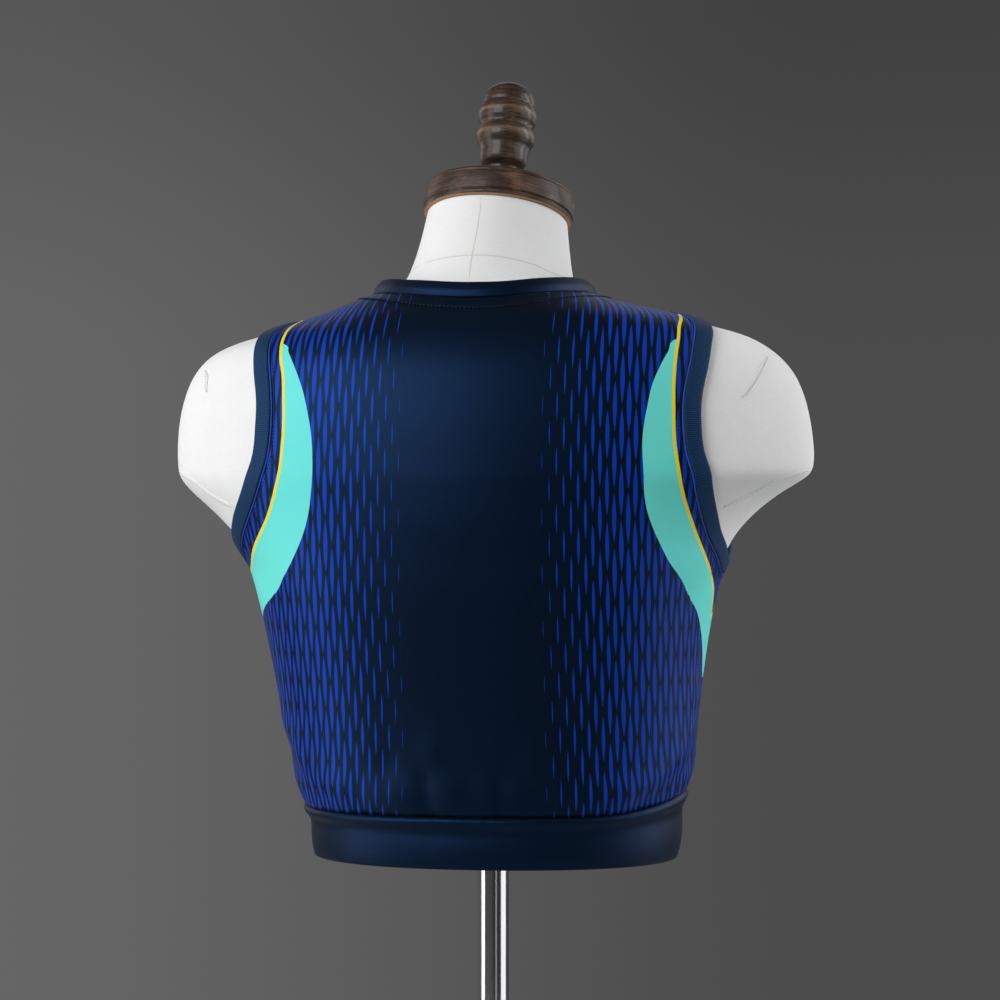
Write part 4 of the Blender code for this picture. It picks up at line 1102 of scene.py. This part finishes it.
def turnedWood(name, look, origin, knotPlace=None):
    # stained beech, turned and oiled: fibres and small pores run round it; the cap has a knot and a pale edge
    dark, middle, light = look["tones"]
    made, tree, shader = newMaterial(name, middle, {
        "Roughness": 0.55, "Specular IOR Level": 0.3, "Coat Weight": look["coat"], "Coat Roughness": 0.14})
    objectPlace = addNode(tree, "TexCoord", out="Object")
    turn = (math.radians(formSizes["tilt"]), -math.radians(formSizes["roll"]), 0)
    local = addNode(tree, "Mapping", {"Vector": objectPlace, "Location": origin, "Rotation": turn},
                    vector_type="TEXTURE")
    stretched = addNode(tree, "Mapping", {"Vector": local, "Scale": look["fibres"]})
    fibres = addNode(tree, "TexNoise", {"Vector": stretched, "Scale": 1.0, "Detail": 5.0, "Roughness": 0.65,
                     "Distortion": 0.4}, out="Fac")
    cloud = addNode(tree, "TexNoise", {"Vector": local, "Scale": 55.0, "Detail": 3.0}, out="Fac")
    value = addNode(tree, "Math", {0: cloud, 1: 0.7, 2: fibres}, operation="MULTIPLY_ADD")
    tone = addNode(tree, "MapRange", {"Value": value, "From Min": 0.55, "From Max": 1.15})
    colour = addNode(tree, "ValToRGB", {"Fac": tone}, out="Color")
    stops = colour.node.color_ramp.elements
    stops[0].color, stops[1].color = linear(dark), linear(light)
    stops.new(0.5).color = linear(middle)
    level = addNode(tree, "SeparateXYZ", {0: local}, out="Z")
    pores = addNode(tree, "Mapping", {"Vector": local, "Scale": (260, 260, 1300)})
    pores = addNode(tree, "TexNoise", {"Vector": pores, "Scale": 1.0, "Detail": 1.0}, out="Fac")
    pored = addNode(tree, "MapRange", {"Value": pores, "From Min": 0.60, "From Max": 0.66})
    pored = addNode(tree, "Math", {0: pored, 1: 0.75}, operation="MULTIPLY")
    colour = addNode(tree, "Mix", {"Factor": pored, "A": colour, "B": linear(woodMarks["pore"])},
                     out=2, data_type="RGBA")
    # lighter tan bands on the bead crests: partly wear, partly a painted highlight
    for height in look["wornRings"]:
        off = addNode(tree, "Math", {0: level, 1: height}, operation="SUBTRACT")
        off = addNode(tree, "Math", {0: off}, operation="ABSOLUTE")
        worn = addNode(tree, "MapRange", {"Value": off, "From Min": 0.0022, "From Max": 0.0002,
                       "To Max": 0.6}, interpolation_type="SMOOTHSTEP")
        worn = addNode(tree, "Math", {0: worn, 1: fibres}, operation="MULTIPLY")
        colour = addNode(tree, "Mix", {"Factor": worn, "A": colour, "B": linear(woodMarks["worn"])},
                         out=2, data_type="RGBA")
    if knotPlace:
        # knot: dark rings round a point on the rim, and the pale lower edge under the groove
        knot = addNode(tree, "VectorMath", {0: local, 1: knotPlace}, operation="DISTANCE", out="Value")
        rings = addNode(tree, "Math", {0: knot, 1: woodMarks["knotRings"]}, operation="MULTIPLY")
        rings = addNode(tree, "Math", {0: rings}, operation="SINE")
        nearKnot = addNode(tree, "MapRange", {"Value": knot, "From Min": 0.0065, "From Max": 0.0020})
        darker = addNode(tree, "Math", {0: rings, 1: 0.18, 2: 0.55}, operation="MULTIPLY_ADD")
        amount = addNode(tree, "Math", {0: nearKnot, 1: darker}, operation="MULTIPLY")
        colour = addNode(tree, "Mix", {"Factor": amount, "A": colour, "B": linear(woodMarks["knot"])},
                         out=2, data_type="RGBA")
        edge = addNode(tree, "MapRange", {"Value": level, "From Min": 0.0005, "From Max": 0.0002})
        pale = addNode(tree, "Mix", {"Factor": fibres, "A": linear(woodMarks["edgeDark"]),
                       "B": linear(woodMarks["edgeLight"])}, out=2, data_type="RGBA")
        colour = addNode(tree, "Mix", {"Factor": edge, "A": colour, "B": pale}, out=2, data_type="RGBA")
    tree.links.new(colour, shader.inputs["Base Color"])
    lumps = addNode(tree, "Bump", {"Height": fibres, "Strength": 0.3, "Distance": 0.0004})
    tree.links.new(lumps, shader.inputs["Normal"])
    return made


turn = neckTurn()
upward = turn @ np.array([0, 0, 1.0])
capFoot = np.array(formSizes["neckTop"]) + upward * (formSizes["lidStep"] + garment["seamGap"])
capProfile = [(0.0300, 0.0), (0.0474, 0.0), (0.0484, 0.0004), (0.0488, 0.0012), (0.0488, 0.0022),
              (0.0484, 0.0026), (0.0482, 0.0031), (0.0485, 0.0036), (0.0491, 0.0042), (0.0492, 0.0054),
              (0.0492, 0.0146), (0.0490, 0.0153), (0.0482, 0.0158), (0.0478, 0.0162), (0.0481, 0.0167),
              (0.0481, 0.0176), (0.0476, 0.0186), (0.0465, 0.0193), (0.0450, 0.0195), (0.0200, 0.0195)]
knobRows = [(0.0098, 0.0), (0.0105, 0.0004), (0.0105, 0.0040), (0.0105, 0.0120), (0.0106, 0.0155),
            (0.0120, 0.0168), (0.0140, 0.0182), (0.0153, 0.0203), (0.0159, 0.0235), (0.0161, 0.0277),
            (0.0166, 0.0302), (0.0178, 0.0322), (0.0189, 0.0345), (0.0192, 0.0375), (0.0188, 0.0404),
            (0.0176, 0.0428), (0.0171, 0.0444), (0.0175, 0.0460), (0.0186, 0.0480), (0.0192, 0.0505),
            (0.0193, 0.0535), (0.0188, 0.0560), (0.0178, 0.0580), (0.0173, 0.0595), (0.0174, 0.0615),
            (0.0170, 0.0645), (0.0156, 0.0680), (0.0133, 0.0710), (0.0096, 0.0736), (0.0045, 0.0756),
            (0.0008, 0.0761)]
knotAngle = math.radians(61.5)
capWood = turnedWood("stainedBeechCap", capWoodLook, tuple(capFoot),
                     (0.049 * math.cos(knotAngle), 0.049 * math.sin(knotAngle), 0.009))
knobWood = turnedWood("stainedBeechKnob", knobWoodLook, tuple(capFoot))
knobFoot = capFoot + upward * (capProfile[-1][1] + garment["seamGap"])
turnedPiece("neckCap", capProfile, 160, capFoot, turn, capWood, "neck_cap")
turnedPiece("finialKnob", curveThrough(knobRows, 150), 96, knobFoot, turn, knobWood, "finial")


def chromeTube():
    # chromed steel tube: mirror-bright, with faint draw lines along it
    made, tree, shader = newMaterial("chromedSteelTube", "#c9c9cc", {"Roughness": 0.12, "Metallic": 1.0})
    place = addNode(tree, "TexCoord", out="Object")
    lines = addNode(tree, "Mapping", {"Vector": place, "Scale": (1500, 1500, 6)})
    drawn = addNode(tree, "TexNoise", {"Vector": lines, "Scale": 1.0, "Detail": 2.0}, out="Fac")
    rough = addNode(tree, "MapRange", {"Value": drawn, "To Min": 0.08, "To Max": 0.2})
    tree.links.new(rough, shader.inputs["Roughness"])
    return made


def paintedSteel():
    # powder-coated steel: dark and half matt, with a fine orange peel
    made, tree, shader = newMaterial("powderCoatedSteel", "#26272a", {
        "Roughness": 0.45, "Specular IOR Level": 0.5})
    place = addNode(tree, "TexCoord", out="Object")
    peel = addNode(tree, "TexNoise", {"Vector": place, "Scale": 900.0, "Detail": 2.0}, out="Fac")
    lumps = addNode(tree, "Bump", {"Height": peel, "Strength": 0.25, "Distance": 0.0003})
    tree.links.new(lumps, shader.inputs["Normal"])
    mixed = addNode(tree, "Mix", {"Factor": peel, "A": linear("#222326"), "B": linear("#2c2d31")},
                    out=2, data_type="RGBA")
    tree.links.new(mixed, shader.inputs["Base Color"])
    return made


stand = {"poleRadius": 0.0105, "poleBevel": 0.0004,
         "plateHeight": 0.014, "socketRadius": 0.019, "socketHeight": 0.022}
poleFoot = stand["plateHeight"] + stand["socketHeight"] + garment["seamGap"]
poleTop = formSizes["bottom"] - formSizes["footRound"] - garment["seamGap"]
wide, narrow = stand["poleRadius"], stand["poleRadius"] - stand["poleBevel"]
poleProfile = [(narrow, poleFoot), (wide, poleFoot + stand["poleBevel"]),
               (wide, poleTop - stand["poleBevel"]), (narrow, poleTop)]
turnedPiece("poleTube", poleProfile, 96, (0, 0, 0), np.eye(3), chromeTube(), "pole")
rim = [(0.080, 0.0), (0.1190, 0.0), (0.1197, 0.0004), (0.1200, 0.0012)]
# heights from the plate's top, and the socket's radii from its own
plateEdge = [(0.1200, -0.0050), (0.1195, -0.0032), (0.1182, -0.0018), (0.1160, -0.0006), (0.1130, 0.0)]
socketSide = [(0.0060, 0.0006), (0.0030, 0.0014), (0.0010, 0.0030), (0.0, 0.0050), (0.0, 0.0196),
              (-0.0005, 0.0210), (-0.0020, 0.0220), (-0.0078, 0.0220)]
baseProfile = np.concatenate([rim, plateEdge + np.array([0, stand["plateHeight"]]),
                              socketSide + np.array([stand["socketRadius"], stand["plateHeight"]])])
turnedPiece("footPlate", baseProfile, 192, (0, 0, 0), np.eye(3), paintedSteel(), "base")
print("form and stand made")


# floor, light and camera

studio = {"floorRadius": 0.62, "floorCorners": 96, "floorColour": "#bfbfbd",
          "wallLeft": 0.132, "wallRight": 0.072, "wallAbove": 0.72, "roomBehind": 0.6}
floorAngles = np.linspace(0, 2 * np.pi, studio["floorCorners"], endpoint=False)
floorMesh = bpy.data.meshes.new("studioFloor")
floorRim = np.stack([np.cos(floorAngles), np.sin(floorAngles), 0 * floorAngles], axis=1)
floorMesh.from_pydata((floorRim * studio["floorRadius"]).tolist(), [], [list(range(studio["floorCorners"]))])
# paint on board: pale and matt
floorMesh.materials.append(newMaterial("paleStudioFloor", studio["floorColour"],
                                       {"Roughness": 0.8, "Specular IOR Level": 0.2})[0])
floor = bpy.data.objects.new("studioFloor", floorMesh)
bpy.context.collection.objects.link(floor)

cameraView = {"azimuth": 187.5, "distance": 1.8, "aside": 0.0046, "height": 0.470,
              "focalPixels": 2769, "pixels": 1000, "sensor": 36}
swing = math.radians(cameraView["azimuth"])
towards = np.array([math.sin(swing), -math.cos(swing), 0])
rightward = np.array([math.cos(swing), math.sin(swing), 0])
camera = bpy.data.objects.new("photoCamera", bpy.data.cameras.new("photoCamera"))
camera.data.sensor_width = cameraView["sensor"]
camera.data.lens = cameraView["focalPixels"] / cameraView["pixels"] * cameraView["sensor"]
camera.location = (towards * cameraView["distance"] + rightward * cameraView["aside"]
                   + np.array([0, 0, cameraView["height"]]))
camera.rotation_euler = (math.radians(90), 0, swing)
bpy.context.collection.objects.link(camera)
bpy.context.scene.camera = camera

lampAim = 0.45  # height that every lamp faces
lampTable = {  # degrees to the right of the camera, height angle, distance, width, length, brightness
    "keySoftbox": (-40, 26, 2.2, 1.3, 1.3, 5.6),
    "leftPanel": (-74, 6, 1.8, 0.85, 2.3, 2.6),
    "rightPanel": (82, 12, 1.7, 1.5, 2.3, 1.5),
    "rightKicker": (96, 22, 1.9, 0.6, 1.6, 3.3),
    "frontStrip": (23, 0, 2.4, 0.16, 2.3, 0.9),
    "lowFill": (-34, -28, 2.3, 1.2, 0.7, 0.25),
    "farLeftPanel": (-132, 14, 2.2, 1.0, 1.5, 1.0),
    "farRightPanel": (130, 14, 2.2, 1.0, 1.5, 1.1),
    "rimStrip": (142, 40, 1.7, 0.4, 1.1, 0.4),
    "backSoftbox": (180, 35, 2.6, 1.5, 1.2, 0.6),
}
for name, (turned, climb, distance, width, length, bright) in lampTable.items():
    data = bpy.data.lights.new(name, "AREA")
    data.shape = "RECTANGLE"
    data.size, data.size_y = width, length
    data.energy = bright * math.pi * width * length
    lamp = bpy.data.objects.new(name, data)
    turned, climb = math.radians(turned), math.radians(climb)
    level = (towards * math.cos(turned) + rightward * math.sin(turned)) * distance * math.cos(climb)
    lamp.location = level + np.array([0, 0, lampAim + distance * math.sin(climb)])
    lamp.rotation_euler = (Vector((0, 0, lampAim)) - lamp.location).to_track_quat("-Z", "Y").to_euler()
    bpy.context.collection.objects.link(lamp)

# backdrop: a grey studio wall that is lighter on the key light's side
world = bpy.data.worlds.new("greyStudio")
bpy.context.scene.world = world
world.use_nodes = True
tree = world.node_tree
sky = tree.nodes["Background"]
direction = addNode(tree, "TexCoord", out="Generated")
aside = addNode(tree, "VectorMath", {0: direction, 1: tuple(rightward)}, operation="DOT_PRODUCT", out="Value")
climb = addNode(tree, "SeparateXYZ", {0: direction}, out="Z")
ahead = addNode(tree, "VectorMath", {0: direction, 1: tuple(towards)}, out="Value", operation="DOT_PRODUCT")
# lighter at the left, darker higher up, and darker in the room behind the camera
tone, falloff, room = (
    addNode(tree, "MapRange", {"Value": value, "From Min": start, "From Max": stop, "To Min": first,
            "To Max": last}, interpolation_type="SMOOTHSTEP")
    for value, start, stop, first, last in (
        (aside, -0.19, 0.12, studio["wallLeft"], studio["wallRight"]),
        (climb, 0.04, 0.19, 1.0, studio["wallAbove"]),
        (ahead, -0.2, 0.5, 1.0, studio["roomBehind"])))
for share in (falloff, room):
    tone = addNode(tree, "Math", {0: tone, 1: share}, operation="MULTIPLY")
tree.links.new(tone, sky.inputs["Color"])
bpy.context.scene.view_settings.view_transform = "Standard"
print("stage set")
